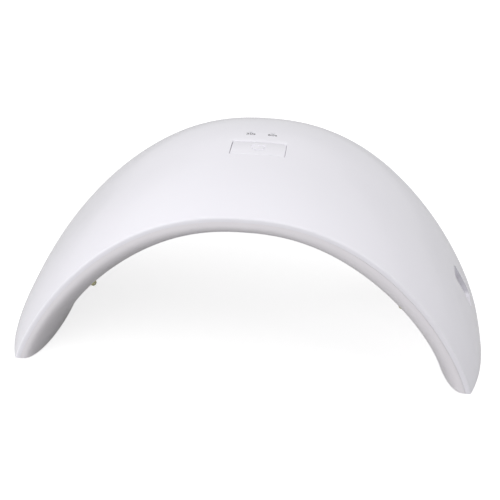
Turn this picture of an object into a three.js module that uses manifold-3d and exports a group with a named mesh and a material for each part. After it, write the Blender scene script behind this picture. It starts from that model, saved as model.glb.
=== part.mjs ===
// A table-top nail-curing lamp: a glossy arched shell screwed over a white inner panel, which holds
// three bent strips of domed diodes round the space for the hand.
// Millimetres: X across the arch, Y from front to back, Z up from the table.

import * as THREE from "three";
import { mergeVertices } from "three/addons/utils/BufferGeometryUtils.js";
import Module from "manifold-3d";

const wasm = await Module();
wasm.setup();

// Driving dimensions of the arch.
const lampWidth = 210;
const archHeight = 81.8;
const footDepth = 106.2;
const crownDepth = 109.2;
const footEdgeDrop = 6.95;
const crownEdgeDrop = 6.05;
const shellWall = 2;
const panelWall = 1.8;
const footFloor = 2.4;
const footBulge = 10.85;
const flankBulge = 12.7;
const padProud = 0.4;

// Clearances and the overrun of cuts.
const fitGap = 0.3;
const buttonGap = 0.35;
const panelInset = 0.5;
const landThickness = 0.6;
const rimRound = 0.7;
const overrun = 1;
const envelopeDepth = 24;
const smallestStep = 0.0001;
const probeStep = 0.01;
const probeShare = 0.001;

// Powers that shape the arch: its flanks, its crown, the fall to the edges and the panel's swell.
const flankPower = 0.9;
const crownPower = 1.6;
const edgePower = 2.785;
const depthPower = 1.4;
const swellFootPower = 2;
const swellCrownPower = 2.94;
const swellFootRoot = 0.467;
const swellCrownRoot = 0.437;

// How finely the curved pieces are divided.
const archSteps = 32;
const shellSpans = 12;
const panelSpans = 16;
const roundSides = 12;
const cornerSteps = 4;
const beadSides = 8;
const domeSteps = 3;
const wireSides = 8;
const halvings = 40;

// The push button and the switch under it.
const buttonWidth = 24;
const buttonDepth = 14.5;
const buttonCorner = 0.5;
const buttonY = 3.6;
const buttonLip = 1.5;
const lipThickness = 1;
const capThickness = 4.2;
const stemRadius = 2;
const stemLength = 2.2;
const buttonTravel = 0.5;
const powerMarkRadius = 3.6;
const powerMarkLine = 0.8;
const powerMarkDepth = 0.3;
const powerMarkShift = 0.5;
const powerMarkGapAngle = Math.PI / 3;
const switchSide = 6;
const switchHeight = 3.5;
const plungerRadius = 1.65;
const plungerShow = 1.4;
const plungerHidden = 0.8;

// The two timer lights behind the button.
const lightSpacing = 9.8;
const lightY = 22;
const lightRadius = 0.7;
const lightBodyRadius = 1.2;
const lightFlangeRadius = 1.8;
const lightFlangeHeight = 0.8;
const indicatorWidth = 2;
const indicatorDepth = 1.25;
const indicatorHeight = 1;

// The control board and what stands on it.
const boardWidth = 48;
const boardDepth = 37;
const boardThickness = 1.6;
const boardY = 9.5;
const boardCorner = 2;
const postX = 20;
const postY = 3;
const postRadius = 2.6;
const boardScrewRadius = 1;
const boardScrewHeadRadius = 1.9;
const boardScrewHeadHeight = 1.2;
const boardScrewReach = 5.5;
const chipSize = [5, 4, 1.6];
const chipPlace = [-10.5, 14];
const mosfetSize = [6.6, 6.1, 2.3];
const mosfetPlace = [12, 16];
const connectorSize = [5, 6.5, 4];
const connectorPlace = [20.5, 14];
const inductorRadius = 3;
const inductorHeight = 4;
const inductorFlange = 0.8;
const inductorCoreRadius = 2.25;
const inductorPlace = [-17, 20.5];
const capacitorRadius = 2.5;
const capacitorHeight = 4.6;
const capacitorShoulder = 0.6;
const capacitorPlace = [11.5, 23.8];

// The diode strips and their domed beads.
const stripRowY = 35;
const stripWidth = 8;
const stripThickness = 1;
const stripSteps = 24;
const beadShares = [0.188, 0.335, 0.445, 0.555, 0.665, 0.812];
const stripEndShare = 0.165;
const beadRadius = 1.5;
const beadShow = 1.4;
const beadFlangeRadius = 2.2;
const beadFlangeHeight = 0.6;
const beadGap = 0.5;

// The power inlet in the right flank.
const pocketWidth = 12.7;
const pocketFloorZ = 14;
const pocketHeight = 14.9;
const pocketY = 1.85;
const pocketCorner = 2;
const jackRise = 6.8;
const jackLength = 10;
const jackWidth = 9;
const jackHeight = 11;
const jackCollarRadius = 4.3;
const jackCollarShow = 0.4;
const jackBoreRadius = 2.8;
const jackBackWall = 2.5;
const jackPinRadius = 1;
const jackPinTail = 0.9;
const jackPinSetBack = 0.8;
const cheekThickness = 1.6;
const cheekLength = 6;
const contactSize = [4, 0.5, 3];
const contactHold = 1.8;

// Screws, pads and wires.
const caseScrewInset = 11.6;
const caseScrewY = 22;
const caseScrewRadius = 1.3;
const caseScrewHeadRadius = 2.6;
const caseScrewHeadHeight = 1.6;
const caseScrewSetBack = 0.3;
const caseScrewLength = 9.5;
const driveSlotWidth = 0.7;
const driveSlotDepth = 0.8;
const shellBossRadius = 3;
const shellBossTop = 27;
const panelBossRadius = 4.4;
const panelBossHeight = 4.6;
const padInset = 11.2;
const padEndInset = 15.1;
const padWidth = 7;
const padDepth = 12;
const padCorner = 3;
const padThickness = 0.9;
const wireRadius = 0.8;
const wireSink = 6;
const wireSpacing = 3.2;
const wireSteps = 24;
const wireFlankSteps = 3;
const wireClimb = 5.5;
const wireEndAngle = 1.2;
const leadRadius = 0.7;
const leadSteps = 12;
const leadShare = 0.56;
const middleLeadShare = 0.63;

// Places worked out from the sizes above, with the feet's underside at Z zero.
const halfWidth = lampWidth / 2;
const halfFootDepth = footDepth / 2;
const halfCrownDepth = crownDepth / 2;
const caseScrewX = halfWidth - caseScrewInset;
const padX = halfWidth - padInset;
const padY = halfFootDepth - padEndInset;
const pocketTopZ = pocketFloorZ + pocketHeight;
const pocketFaceX = crownLine(crownAngleAt(pocketTopZ)).x;
const jackZ = pocketFloorZ + jackRise;
const landSink = shellWall + fitGap + landThickness;
const stripStandOff = beadFlangeHeight + 2 * beadGap;
const capBottomZ = archHeight - capThickness;
const stemBottomZ = capBottomZ - stemLength;
const plungerTopZ = stemBottomZ - fitGap;
const switchTopZ = plungerTopZ - plungerShow;
const switchBottomZ = switchTopZ - switchHeight;
const boardTopZ = switchBottomZ - fitGap;
const boardBottomZ = boardTopZ - boardThickness;
const partsBottomZ = boardTopZ + fitGap;
const jackBackX = pocketFaceX - shellWall - fitGap - jackLength;

// The two sides of the lamp, and the four corners of its feet.
const sides = [
  { side: -1, name: "left" },
  { side: 1, name: "right" },
];
const corners = sides.flatMap(({ side, name }) => [
  { side, end: -1, name: name + "_front" },
  { side, end: 1, name: name + "_back" },
]);

// Turns a closed geometry into a solid that can be joined and cut.
function solidOf(geometry) {
  const bare = geometry.clone();
  bare.deleteAttribute("normal");
  bare.deleteAttribute("uv");
  const merged = mergeVertices(bare, smallestStep);
  return new wasm.Manifold(
    new wasm.Mesh({
      numProp: 3,
      vertProperties: new Float32Array(merged.attributes.position.array),
      triVerts: new Uint32Array(merged.index.array),
    }),
  );
}

function geometryOf(solid) {
  const mesh = solid.getMesh();
  const geometry = new THREE.BufferGeometry();
  const points = new Float32Array(mesh.vertProperties);
  geometry.setAttribute("position", new THREE.BufferAttribute(points, mesh.numProp));
  geometry.setIndex(new THREE.BufferAttribute(new Uint32Array(mesh.triVerts), 1));
  geometry.computeVertexNormals();
  return geometry;
}

function finish(color, roughness, metalness) {
  return new THREE.MeshStandardMaterial({ color, roughness, metalness });
}

function piece(name, solid, material) {
  const mesh = new THREE.Mesh(geometryOf(solid), material);
  mesh.name = name;
  return mesh;
}

// The line over the top of the arch in its middle plane, with the direction that points out of it.
function crownLine(angle) {
  const across = Math.cos(angle);
  const up = Math.max(Math.sin(angle), 0);
  const side = Math.sign(across);
  const outX = (side * Math.abs(across) ** (2 - flankPower)) / (halfWidth * flankPower);
  const outZ = up ** (2 - crownPower) / (archHeight * crownPower);
  const reach = Math.hypot(outX, outZ);
  return {
    x: side * halfWidth * Math.abs(across) ** flankPower,
    z: archHeight * up ** crownPower,
    outX: outX / reach,
    outZ: outZ / reach,
  };
}

// The angle at which the crown line reaches a height above the feet.
function crownAngleAt(height) {
  return Math.asin((height / archHeight) ** (1 / crownPower));
}

function halfDepth(angle) {
  const rise = Math.max(Math.sin(angle), 0) ** crownPower;
  return halfFootDepth + (halfCrownDepth - halfFootDepth) * rise ** depthPower;
}

function edgeDrop(angle) {
  return footEdgeDrop + (crownEdgeDrop - footEdgeDrop) * Math.sin(angle) ** 2;
}

// How far the shell's outer face lies under the crown line, at a distance y from the middle plane.
function shellDrop(angle, y) {
  return edgeDrop(angle) * Math.abs(y / halfDepth(angle)) ** edgePower;
}

// The same for the inner panel's face, at a share of the panel's own half depth.
function panelDrop(angle, share) {
  const high = Math.sin(angle) ** 4;
  const bulge = footBulge + (flankBulge - footBulge) * 4 * high * (1 - high);
  const power = swellFootPower + (swellCrownPower - swellFootPower) * high;
  const root = swellFootRoot + (swellCrownRoot - swellFootRoot) * high;
  const swell = Math.max(1 - Math.abs(share) ** power, 0) ** root;
  return edgeDrop(angle) + landSink + bulge * swell;
}

function place(angle, y, drop) {
  const line = crownLine(angle);
  return new THREE.Vector3(line.x - drop * line.outX, y, line.z - drop * line.outZ);
}

// A section line says how deep it lies: y(angle) is its place from front to back, and drop(angle)
// is how far it is sunk into the arch.
function shellLine(share, inset, sink) {
  const y = (angle) => share * halfDepth(angle) - Math.sign(share) * inset;
  return { y, drop: (angle) => shellDrop(angle, y(angle)) + sink };
}

function panelLine(share, inset, sink) {
  const y = (angle) => share * (halfDepth(angle) - panelInset - inset);
  return { y, drop: (angle) => panelDrop(angle, share) + sink };
}

// A line along the panel at a fixed distance from the middle plane, raised behind its face.
function panelRowLine(rowY, raise) {
  const share = (angle) => rowY / (halfDepth(angle) - panelInset);
  return { y: () => rowY, drop: (angle) => panelDrop(angle, share(angle)) - raise };
}

// The angle at which a sunk line rises out of the plane under the feet.
function footAngle(line) {
  let low = 0;
  let high = Math.PI / 2;
  for (let k = 0; k < halvings; k += 1) {
    const middle = (low + high) / 2;
    const above = place(middle, 0, line.drop(middle)).z > 0;
    low = above ? low : middle;
    high = above ? middle : high;
  }
  return high;
}

// The point of a line at a share of its way from the right foot to the left foot.
function pointOn(line, share) {
  const start = footAngle(line);
  const angle = start + (Math.PI - 2 * start) * share;
  return place(angle, line.y(angle), line.drop(angle));
}

function rail(line, steps, from, to) {
  const points = [];
  for (let k = 0; k <= steps; k += 1) {
    points.push(pointOn(line, from + ((to - from) * k) / steps));
  }
  return points;
}

// Closes a ring of section lines into a bent solid that stands with both ends on the foot plane.
// The ring runs from front to back over the outer lines, and back again over the inner ones.
function bentSolid(ring, steps, from = 0, to = 1) {
  const rails = ring.map((line) => rail(line, steps, from, to));
  if (from === 0) {
    rails.forEach((points) => {
      points[0].z = 0;
      points[steps].z = 0;
    });
  }
  const count = rails.length;
  const index = [];
  const at = (line, step) => (line % count) * (steps + 1) + step;
  for (let line = 0; line < count; line += 1) {
    for (let step = 0; step < steps; step += 1) {
      index.push(at(line, step), at(line + 1, step), at(line + 1, step + 1));
      index.push(at(line, step), at(line + 1, step + 1), at(line, step + 1));
    }
  }
  [0, steps].forEach((step) => {
    const outline = rails.map((points) => new THREE.Vector2(points[step].y, points[step].x));
    const turn = Math.sign(THREE.ShapeUtils.area(outline)) * (step === 0 ? -1 : 1);
    THREE.ShapeUtils.triangulateShape(outline, []).forEach(([a, b, c]) => {
      const same = THREE.ShapeUtils.area([outline[a], outline[b], outline[c]]) * turn > 0;
      index.push(at(a, step), at(same ? b : c, step), at(same ? c : b, step));
    });
  });
  const geometry = new THREE.BufferGeometry().setFromPoints(rails.flat());
  geometry.setIndex(index);
  return solidOf(geometry);
}

// Shares from the front edge to the back edge, closer together near the edges.
function sharesAcross(spans) {
  const shares = [];
  for (let k = 0; k <= spans; k += 1) {
    shares.push(-Math.cos((Math.PI * k) / spans));
  }
  return shares;
}

function box(low, high) {
  const size = high.map((value, axis) => value - low[axis]);
  const geometry = new THREE.BoxGeometry(...size);
  geometry.translate(...low.map((value, axis) => value + size[axis] / 2));
  return solidOf(geometry);
}

function boxOn(size, x, y, bottom) {
  const [width, depth, height] = size;
  return box([x - width / 2, y - depth / 2, bottom], [x + width / 2, y + depth / 2, bottom + height]);
}

// A round solid on a vertical axis through the origin, from radius and height pairs, lowest first.
function turned(profile, segments) {
  const points = profile.map(([radius, height]) => new THREE.Vector2(radius, height));
  const geometry = new THREE.LatheGeometry(points, segments);
  geometry.rotateX(Math.PI / 2);
  return solidOf(geometry);
}

function joined(solids) {
  return solids.reduce((all, solid) => all.add(solid));
}

function post(radius, bottom, top, x = 0, y = 0) {
  const profile = [
    [0, bottom],
    [radius, bottom],
    [radius, top],
    [0, top],
  ];
  return turned(profile, roundSides).translate([x, y, 0]);
}

function roundedPlate(width, depth, corner, bottom, top, y = 0) {
  const right = width / 2;
  const back = depth / 2;
  const shape = new THREE.Shape();
  shape.absarc(right - corner, back - corner, corner, 0, Math.PI / 2);
  shape.absarc(corner - right, back - corner, corner, Math.PI / 2, Math.PI);
  shape.absarc(corner - right, corner - back, corner, Math.PI, 1.5 * Math.PI);
  shape.absarc(right - corner, corner - back, corner, 1.5 * Math.PI, 2 * Math.PI);
  const settings = { depth: top - bottom, bevelEnabled: false, curveSegments: cornerSteps };
  const geometry = new THREE.ExtrudeGeometry(shape, settings);
  geometry.translate(0, y, bottom);
  return solidOf(geometry);
}

function tube(points, radius, steps) {
  const shape = new THREE.Shape();
  for (let k = 0; k < wireSides; k += 1) {
    const turn = (2 * Math.PI * k) / wireSides;
    const corner = [radius * Math.cos(turn), radius * Math.sin(turn)];
    if (k === 0) shape.moveTo(...corner);
    else shape.lineTo(...corner);
  }
  const extrudePath = new THREE.CatmullRomCurve3(points, false, "centripetal");
  return solidOf(new THREE.ExtrudeGeometry(shape, { steps, bevelEnabled: false, extrudePath }));
}

// A thick arch whose outer face lies at a sink under the shell's: what is cut to it stays inside.
function envelope(sink) {
  const outer = sharesAcross(shellSpans).map((share) => shellLine(share, 0, sink));
  const inner = [1, -1].map((share) => shellLine(share, 0, envelopeDepth));
  return bentSolid([...outer, ...inner], archSteps);
}

const outerEnvelope = envelope(0);
const wallEnvelope = envelope(shellWall / 2);

// The section ring of the shell: outer face, rounded rim, inner face and the other rim.
function shellRing() {
  const shares = sharesAcross(shellSpans);
  const inside = shares.slice(1, -1);
  const bend = rimRound * (1 - Math.SQRT1_2);
  const rim = (side) => [
    shellLine(side, rimRound, 0),
    shellLine(side, bend, bend),
    shellLine(side, 0, rimRound),
    shellLine(side, 0, shellWall - rimRound),
    shellLine(side, bend, shellWall - bend),
    shellLine(side, rimRound, shellWall),
  ];
  const face = inside.map((share) => shellLine(share, rimRound, 0));
  const under = inside.map((share) => shellLine(share, rimRound, shellWall)).reverse();
  return [...face, ...rim(1), ...under, ...rim(-1).reverse()];
}

// A flat-faced recess for the power inlet, with a wall all round it inside the shell.
function pocketBox(margin, faceX) {
  const depth = halfWidth + overrun - faceX;
  const height = pocketTopZ - pocketFloorZ;
  const corner = pocketCorner + margin;
  const solid = roundedPlate(pocketWidth + 2 * margin, height + 2 * margin, corner, 0, depth);
  const middle = (pocketTopZ + pocketFloorZ) / 2;
  return solid.rotate([90, 0, 90]).translate([faceX, pocketY, middle]);
}

function inletPocketLiner() {
  const back = pocketFaceX - shellWall;
  const cheekInside = jackWidth / 2 + fitGap;
  const bottom = jackZ - jackHeight / 2;
  let liner = pocketBox(shellWall, back);
  for (const side of [-1, 1]) {
    const near = pocketY + side * cheekInside;
    const far = near + side * cheekThickness;
    const low = [back - cheekLength, Math.min(near, far), bottom];
    liner = liner.add(box(low, [back + shellWall, Math.max(near, far), bottom + jackHeight]));
  }
  return liner.intersect(wallEnvelope);
}

function shellBosses() {
  const bottom = panelBossHeight + fitGap;
  const bosses = corners.map(({ side, end }) =>
    post(shellBossRadius, bottom, shellBossTop, side * caseScrewX, end * caseScrewY),
  );
  const posts = sides.map(({ side }) =>
    post(postRadius, boardTopZ + fitGap, archHeight, side * postX, postY),
  );
  return joined([...bosses, ...posts]).intersect(wallEnvelope);
}

function shellPilotHoles() {
  const caseTop = caseScrewSetBack + caseScrewHeadHeight + caseScrewLength + fitGap;
  const boardTop = boardTopZ + boardScrewReach + fitGap;
  const caseHoles = corners.map(({ side, end }) =>
    post(caseScrewRadius + fitGap, footFloor, caseTop, side * caseScrewX, end * caseScrewY),
  );
  const boardHoles = sides.map(({ side }) =>
    post(boardScrewRadius + fitGap, boardBottomZ, boardTop, side * postX, postY),
  );
  return joined([...caseHoles, ...boardHoles]);
}

function outerShell() {
  const top = archHeight + overrun;
  const opening = roundedPlate(
    buttonWidth + 2 * buttonGap,
    buttonDepth + 2 * buttonGap,
    buttonCorner + buttonGap,
    archHeight - 2 * shellWall,
    top,
    buttonY,
  );
  const collarHole = turned(
    [
      [0, -2 * shellWall],
      [jackCollarRadius + fitGap, -2 * shellWall],
      [jackCollarRadius + fitGap, overrun],
      [0, overrun],
    ],
    roundSides,
  )
    .rotate([0, 90, 0])
    .translate([pocketFaceX, pocketY, jackZ]);
  let shell = bentSolid(shellRing(), archSteps)
    .add(shellBosses())
    .add(inletPocketLiner())
    .subtract(opening)
    .subtract(pocketBox(0, pocketFaceX))
    .subtract(collarHole)
    .subtract(shellPilotHoles());
  sides.forEach(({ side }) => {
    const x = (side * lightSpacing) / 2;
    shell = shell.subtract(post(lightRadius + fitGap, archHeight - 2 * shellWall, top, x, lightY));
  });
  return piece("outer_shell", shell, finish(0xf1f0f4, 0.18, 0));
}

// What is cut out for an engraved ring, open at the back, with a bar in the opening.
function powerMark() {
  const inner = powerMarkRadius - powerMarkLine;
  const start = Math.PI / 2 + powerMarkGapAngle / 2;
  const end = start + 2 * Math.PI - powerMarkGapAngle;
  const ring = new THREE.Shape();
  ring.absarc(0, 0, powerMarkRadius, start, end, false);
  ring.absarc(0, 0, inner, end, start, true);
  const height = capThickness + overrun;
  const settings = { depth: height, bevelEnabled: false, curveSegments: roundSides };
  const barSize = [powerMarkLine, inner, height];
  const bar = boxOn(barSize, 0, inner - powerMarkLine, 0);
  return solidOf(new THREE.ExtrudeGeometry(ring, settings))
    .add(bar)
    .translate([0, buttonY + powerMarkShift, archHeight - shellWall])
    .subtract(envelope(powerMarkDepth));
}

function buttonCap() {
  const lipWidth = buttonWidth + 2 * buttonLip;
  const lipDepth = buttonDepth + 2 * buttonLip;
  const lipCorner = buttonCorner + buttonLip;
  const lipTop = capBottomZ + lipThickness;
  const top = archHeight + overrun;
  const cap = roundedPlate(buttonWidth, buttonDepth, buttonCorner, capBottomZ, top, buttonY)
    .intersect(outerEnvelope)
    .subtract(powerMark())
    .add(roundedPlate(lipWidth, lipDepth, lipCorner, capBottomZ, lipTop, buttonY))
    .add(post(stemRadius, stemBottomZ, lipTop, 0, buttonY));
  return piece("button_cap", cap, finish(0xf1f0f4, 0.2, 0));
}

function tactSwitch() {
  const group = new THREE.Group();
  const boreBottom = switchTopZ - plungerHidden - buttonTravel - fitGap;
  const body = boxOn([switchSide, switchSide, switchHeight], 0, buttonY, switchBottomZ).subtract(
    post(plungerRadius + fitGap, boreBottom, switchTopZ + overrun, 0, buttonY),
  );
  const plunger = post(plungerRadius, switchTopZ - plungerHidden, plungerTopZ, 0, buttonY);
  group.add(piece("tact_switch_body", body, finish(0x1c1c1f, 0.5, 0)));
  group.add(piece("tact_switch_plunger", plunger, finish(0x2a2a2e, 0.45, 0)));
  return group;
}

// A clear rod from a diode on the board to a small round window in the shell.
function timerLight(name, side) {
  const group = new THREE.Group();
  group.position.set((side * lightSpacing) / 2, lightY, 0);
  const flangeTop = capBottomZ + lipThickness;
  const flangeBottom = flangeTop - lightFlangeHeight;
  const indicatorTop = partsBottomZ + indicatorHeight;
  const profile = [
    [0, indicatorTop + fitGap],
    [lightBodyRadius, indicatorTop + fitGap],
    [lightBodyRadius, flangeBottom],
    [lightFlangeRadius, flangeBottom],
    [lightFlangeRadius, flangeTop],
    [lightRadius, flangeTop],
    [lightRadius, archHeight + overrun],
    [0, archHeight + overrun],
  ];
  const spot = group.position.toArray();
  const away = spot.map((value) => -value);
  const guide = turned(profile, roundSides).translate(spot).intersect(outerEnvelope);
  const indicatorSize = [indicatorWidth, indicatorDepth, indicatorHeight];
  const indicator = boxOn(indicatorSize, 0, 0, partsBottomZ);
  const clear = finish(0xd8dce4, 0.15, 0);
  group.add(piece("light_guide_" + name, guide.translate(away), clear));
  group.add(piece("indicator_led_" + name, indicator, finish(0xe9e2b8, 0.3, 0)));
  return group;
}

function controlBoard() {
  const bottom = boardBottomZ;
  let board = roundedPlate(boardWidth, boardDepth, boardCorner, bottom, boardTopZ, boardY);
  sides.forEach(({ side }) => {
    const hole = post(boardScrewRadius + fitGap, bottom - overrun, archHeight, side * postX, postY);
    board = board.subtract(hole);
  });
  return piece("control_board", board, finish(0x1f5a3a, 0.5, 0));
}

function boardParts() {
  const group = new THREE.Group();
  const black = finish(0x17171a, 0.5, 0);
  const chip = boxOn(chipSize, ...chipPlace, partsBottomZ);
  const mosfet = boxOn(mosfetSize, ...mosfetPlace, partsBottomZ);
  const connector = boxOn(connectorSize, ...connectorPlace, partsBottomZ);
  const inductorProfile = [
    [0, 0],
    [inductorRadius, 0],
    [inductorRadius, inductorFlange],
    [inductorCoreRadius, inductorFlange],
    [inductorCoreRadius, inductorHeight - inductorFlange],
    [inductorRadius, inductorHeight - inductorFlange],
    [inductorRadius, inductorHeight],
    [0, inductorHeight],
  ];
  const capacitorProfile = [
    [0, 0],
    [capacitorRadius, 0],
    [capacitorRadius, capacitorHeight - capacitorShoulder],
    [capacitorRadius - capacitorShoulder, capacitorHeight],
    [0, capacitorHeight],
  ];
  const inductor = turned(inductorProfile, roundSides).translate([...inductorPlace, partsBottomZ]);
  const capacitor = turned(capacitorProfile, roundSides);
  group.add(piece("controller_chip", chip, black));
  group.add(piece("driver_mosfet", mosfet, black));
  group.add(piece("power_connector", connector, finish(0xe8e4d8, 0.5, 0)));
  group.add(piece("driver_inductor", inductor, finish(0x3a3a3e, 0.6, 0)));
  const can = capacitor.translate([...capacitorPlace, partsBottomZ]);
  group.add(piece("smoothing_capacitor", can, finish(0xb9bcc2, 0.35, 0.9)));
  return group;
}

// A frame on the panel's face at a bead: its place, and a turn that points +Z into the hand space.
function beadFrame(share, rowY) {
  const faceAt = (y, shift) => pointOn(panelRowLine(y, 0), share + shift);
  const along = faceAt(rowY, probeShare).sub(faceAt(rowY, -probeShare));
  const aside = faceAt(rowY + probeStep, 0).sub(faceAt(rowY - probeStep, 0));
  const normal = new THREE.Vector3().crossVectors(along, aside).normalize();
  const frame = new THREE.Object3D();
  frame.position.copy(faceAt(rowY, 0));
  frame.quaternion.setFromUnitVectors(new THREE.Vector3(0, 0, 1), normal);
  frame.updateMatrix();
  return frame;
}

function beadFrames() {
  const frames = [];
  for (const rowY of [-stripRowY, 0, stripRowY]) {
    for (const share of beadShares) {
      frames.push(beadFrame(share, rowY));
    }
  }
  return frames;
}

function beads() {
  const group = new THREE.Group();
  const flangeTop = -panelWall - beadGap;
  const profile = [
    [0, flangeTop - beadFlangeHeight],
    [beadFlangeRadius, flangeTop - beadFlangeHeight],
    [beadFlangeRadius, flangeTop],
    [beadRadius, flangeTop],
  ];
  const domeStart = beadShow - beadRadius;
  for (let k = 0; k <= domeSteps; k += 1) {
    const turn = (Math.PI * k) / (2 * domeSteps);
    const radius = k === domeSteps ? 0 : beadRadius * Math.cos(turn);
    profile.push([radius, domeStart + beadRadius * Math.sin(turn)]);
  }
  const bead = turned(profile, beadSides);
  beadFrames().forEach((frame, k) => {
    const mesh = piece("uv_bead_" + String(k + 1).padStart(2, "0"), bead, finish(0xe6e3a0, 0.15, 0));
    mesh.position.copy(frame.position);
    mesh.quaternion.copy(frame.quaternion);
    group.add(mesh);
  });
  return group;
}

// A thin strip bent round the back of the panel, which the beads stand on.
function ledStrip(name, rowY) {
  const near = panelWall + stripStandOff;
  const places = [rowY - stripWidth / 2, rowY, rowY + stripWidth / 2];
  const outer = places.map((y) => panelRowLine(y, near + stripThickness));
  const inner = places.map((y) => panelRowLine(y, near)).reverse();
  const strip = bentSolid([...outer, ...inner], stripSteps, stripEndShare, 1 - stripEndShare);
  return piece(name, strip, finish(0xf4f4f0, 0.45, 0));
}

// A bent solid between the panel's face, sunk behind it, and the shell's outer face, sunk too.
function panelSolid(edgeInset, faceRaise, backSink) {
  const lines = sharesAcross(panelSpans).map((share) => panelLine(share, edgeInset, -faceRaise));
  const backs = lines.map(({ y }) => ({ y, drop: (angle) => shellDrop(angle, y(angle)) + backSink }));
  return bentSolid([...backs, ...lines.reverse()], archSteps);
}

// The space between the panel's back and the shell, down to the floor of the feet.
function panelCavity() {
  const slab = box(
    [-lampWidth, -crownDepth, footFloor],
    [lampWidth, crownDepth, archHeight + overrun],
  );
  return panelSolid(panelWall, panelWall, shellWall + fitGap - overrun).intersect(slab);
}

function innerPanel() {
  let panel = panelSolid(0, 0, shellWall + fitGap).subtract(panelCavity());
  const headRoom = caseScrewSetBack + caseScrewHeadHeight + fitGap;
  const padRoom = roundedPlate(
    padWidth + 2 * fitGap,
    padDepth + 2 * fitGap,
    padCorner + fitGap,
    -overrun,
    padThickness - padProud + fitGap,
  );
  corners.forEach(({ side, end }) => {
    const x = side * caseScrewX;
    const y = end * caseScrewY;
    panel = panel
      .add(post(panelBossRadius, 0, panelBossHeight, x, y))
      .subtract(post(caseScrewHeadRadius + 2 * fitGap, -overrun, headRoom, x, y))
      .subtract(post(caseScrewRadius + fitGap, -overrun, panelBossHeight + overrun, x, y))
      .subtract(padRoom.translate([side * padX, end * padY, 0]));
  });
  const reach = panelWall + stripStandOff;
  const hole = post(beadRadius + fitGap, -reach, reach);
  beadFrames().forEach((frame) => {
    panel = panel.subtract(hole.transform(frame.matrix.toArray()));
  });
  return piece("inner_panel", panel, finish(0xe9e9ee, 0.28, 0));
}

function powerInlet() {
  const group = new THREE.Group();
  group.position.set(jackBackX, pocketY, jackZ);
  const faceX = pocketFaceX + jackCollarShow - jackBackX;
  const along = (profile) => turned(profile, roundSides).rotate([0, 90, 0]);
  const rod = (radius, from, to) =>
    along([
      [0, from],
      [radius, from],
      [radius, to],
      [0, to],
    ]);
  const housing = box([0, -jackWidth / 2, -jackHeight / 2], [jackLength, jackWidth / 2, jackHeight / 2])
    .add(rod(jackCollarRadius, jackLength - overrun, faceX))
    .subtract(rod(jackBoreRadius, jackBackWall, faceX + overrun))
    .subtract(rod(jackPinRadius + fitGap, -overrun, jackBackWall + overrun));
  const pin = rod(jackPinRadius, -jackPinTail, faceX - jackPinSetBack);
  const contactY = jackWidth / 2 + fitGap + contactSize[1] / 2;
  const contactX = contactHold - contactSize[0] / 2;
  const contact = boxOn(contactSize, contactX, -contactY, -contactSize[2] / 2);
  group.add(piece("dc_jack_housing", housing, finish(0x141416, 0.45, 0)));
  group.add(piece("dc_jack_pin", pin, finish(0xc9c9cc, 0.25, 1)));
  group.add(piece("dc_jack_contact", contact, finish(0xc9c9cc, 0.3, 1)));
  return group;
}

function wirePoint(angle, y) {
  return place(angle, y, shellDrop(angle, y) + shellWall + wireSink);
}

// Two leads from the inlet up the right flank, between two strips, to the board's connector.
function powerWires() {
  const group = new THREE.Group();
  const colours = [0xb3231f, 0x18181b];
  const startX = jackBackX - fitGap;
  const startAngle = crownAngleAt(pocketTopZ + wireClimb);
  const endX = connectorPlace[0] + connectorSize[0] / 2 + fitGap;
  ["positive", "negative"].forEach((name, k) => {
    const side = k - 0.5;
    const y = connectorPlace[1] + side * wireSpacing;
    const start = new THREE.Vector3(startX, pocketY + side * wireSpacing, jackZ + jackHeight / 4);
    const bend = start.clone().add(new THREE.Vector3(-2 * wireRadius, 0, 0));
    const rise = bend.clone().add(new THREE.Vector3(-wireRadius / 2, 0, wireSpacing));
    const points = [start, bend, rise];
    for (let step = 0; step <= wireFlankSteps; step += 1) {
      const share = step / wireFlankSteps;
      const angle = startAngle + (wireEndAngle - startAngle) * share;
      points.push(wirePoint(angle, start.y + (y - start.y) * share));
    }
    const end = new THREE.Vector3(endX, y, partsBottomZ + connectorSize[2] / 2);
    points.push(end.clone().add(new THREE.Vector3(wireSpacing, 0, 0)), end);
    const wire = tube(points, wireRadius, wireSteps);
    group.add(piece("power_wire_" + name, wire, finish(colours[k], 0.5, 0)));
  });
  return group;
}

// A short lead from the board's edge, straight out of it and then down onto a strip.
function stripLead(name, rowY, share, edge, out) {
  const raise = panelWall + stripStandOff + stripThickness + fitGap;
  const landing = pointOn(panelRowLine(rowY, raise), share);
  const start = new THREE.Vector3(edge.x ?? landing.x, edge.y ?? rowY, edge.z);
  const above = landing.clone().add(new THREE.Vector3(0, 0, leadRadius * 4));
  const straight = start.clone().addScaledVector(out, leadRadius * 3);
  const path = [start, straight, above, landing];
  return piece(name, tube(path, leadRadius, leadSteps), finish(0xf0f0f0, 0.5, 0));
}

function stripLeads() {
  const group = new THREE.Group();
  const z = (boardTopZ + boardBottomZ) / 2;
  const frontY = boardY - boardDepth / 2 - fitGap;
  const backY = boardY + boardDepth / 2 + fitGap;
  const leftX = -boardWidth / 2 - fitGap;
  const back = new THREE.Vector3(0, 1, 0);
  const front = new THREE.Vector3(0, -1, 0);
  const left = new THREE.Vector3(-1, 0, 0);
  group.add(stripLead("strip_lead_front", -stripRowY, leadShare, { y: frontY, z }, front));
  group.add(stripLead("strip_lead_middle", 0, middleLeadShare, { x: leftX, z }, left));
  group.add(stripLead("strip_lead_back", stripRowY, leadShare, { y: backY, z }, back));
  return group;
}

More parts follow.
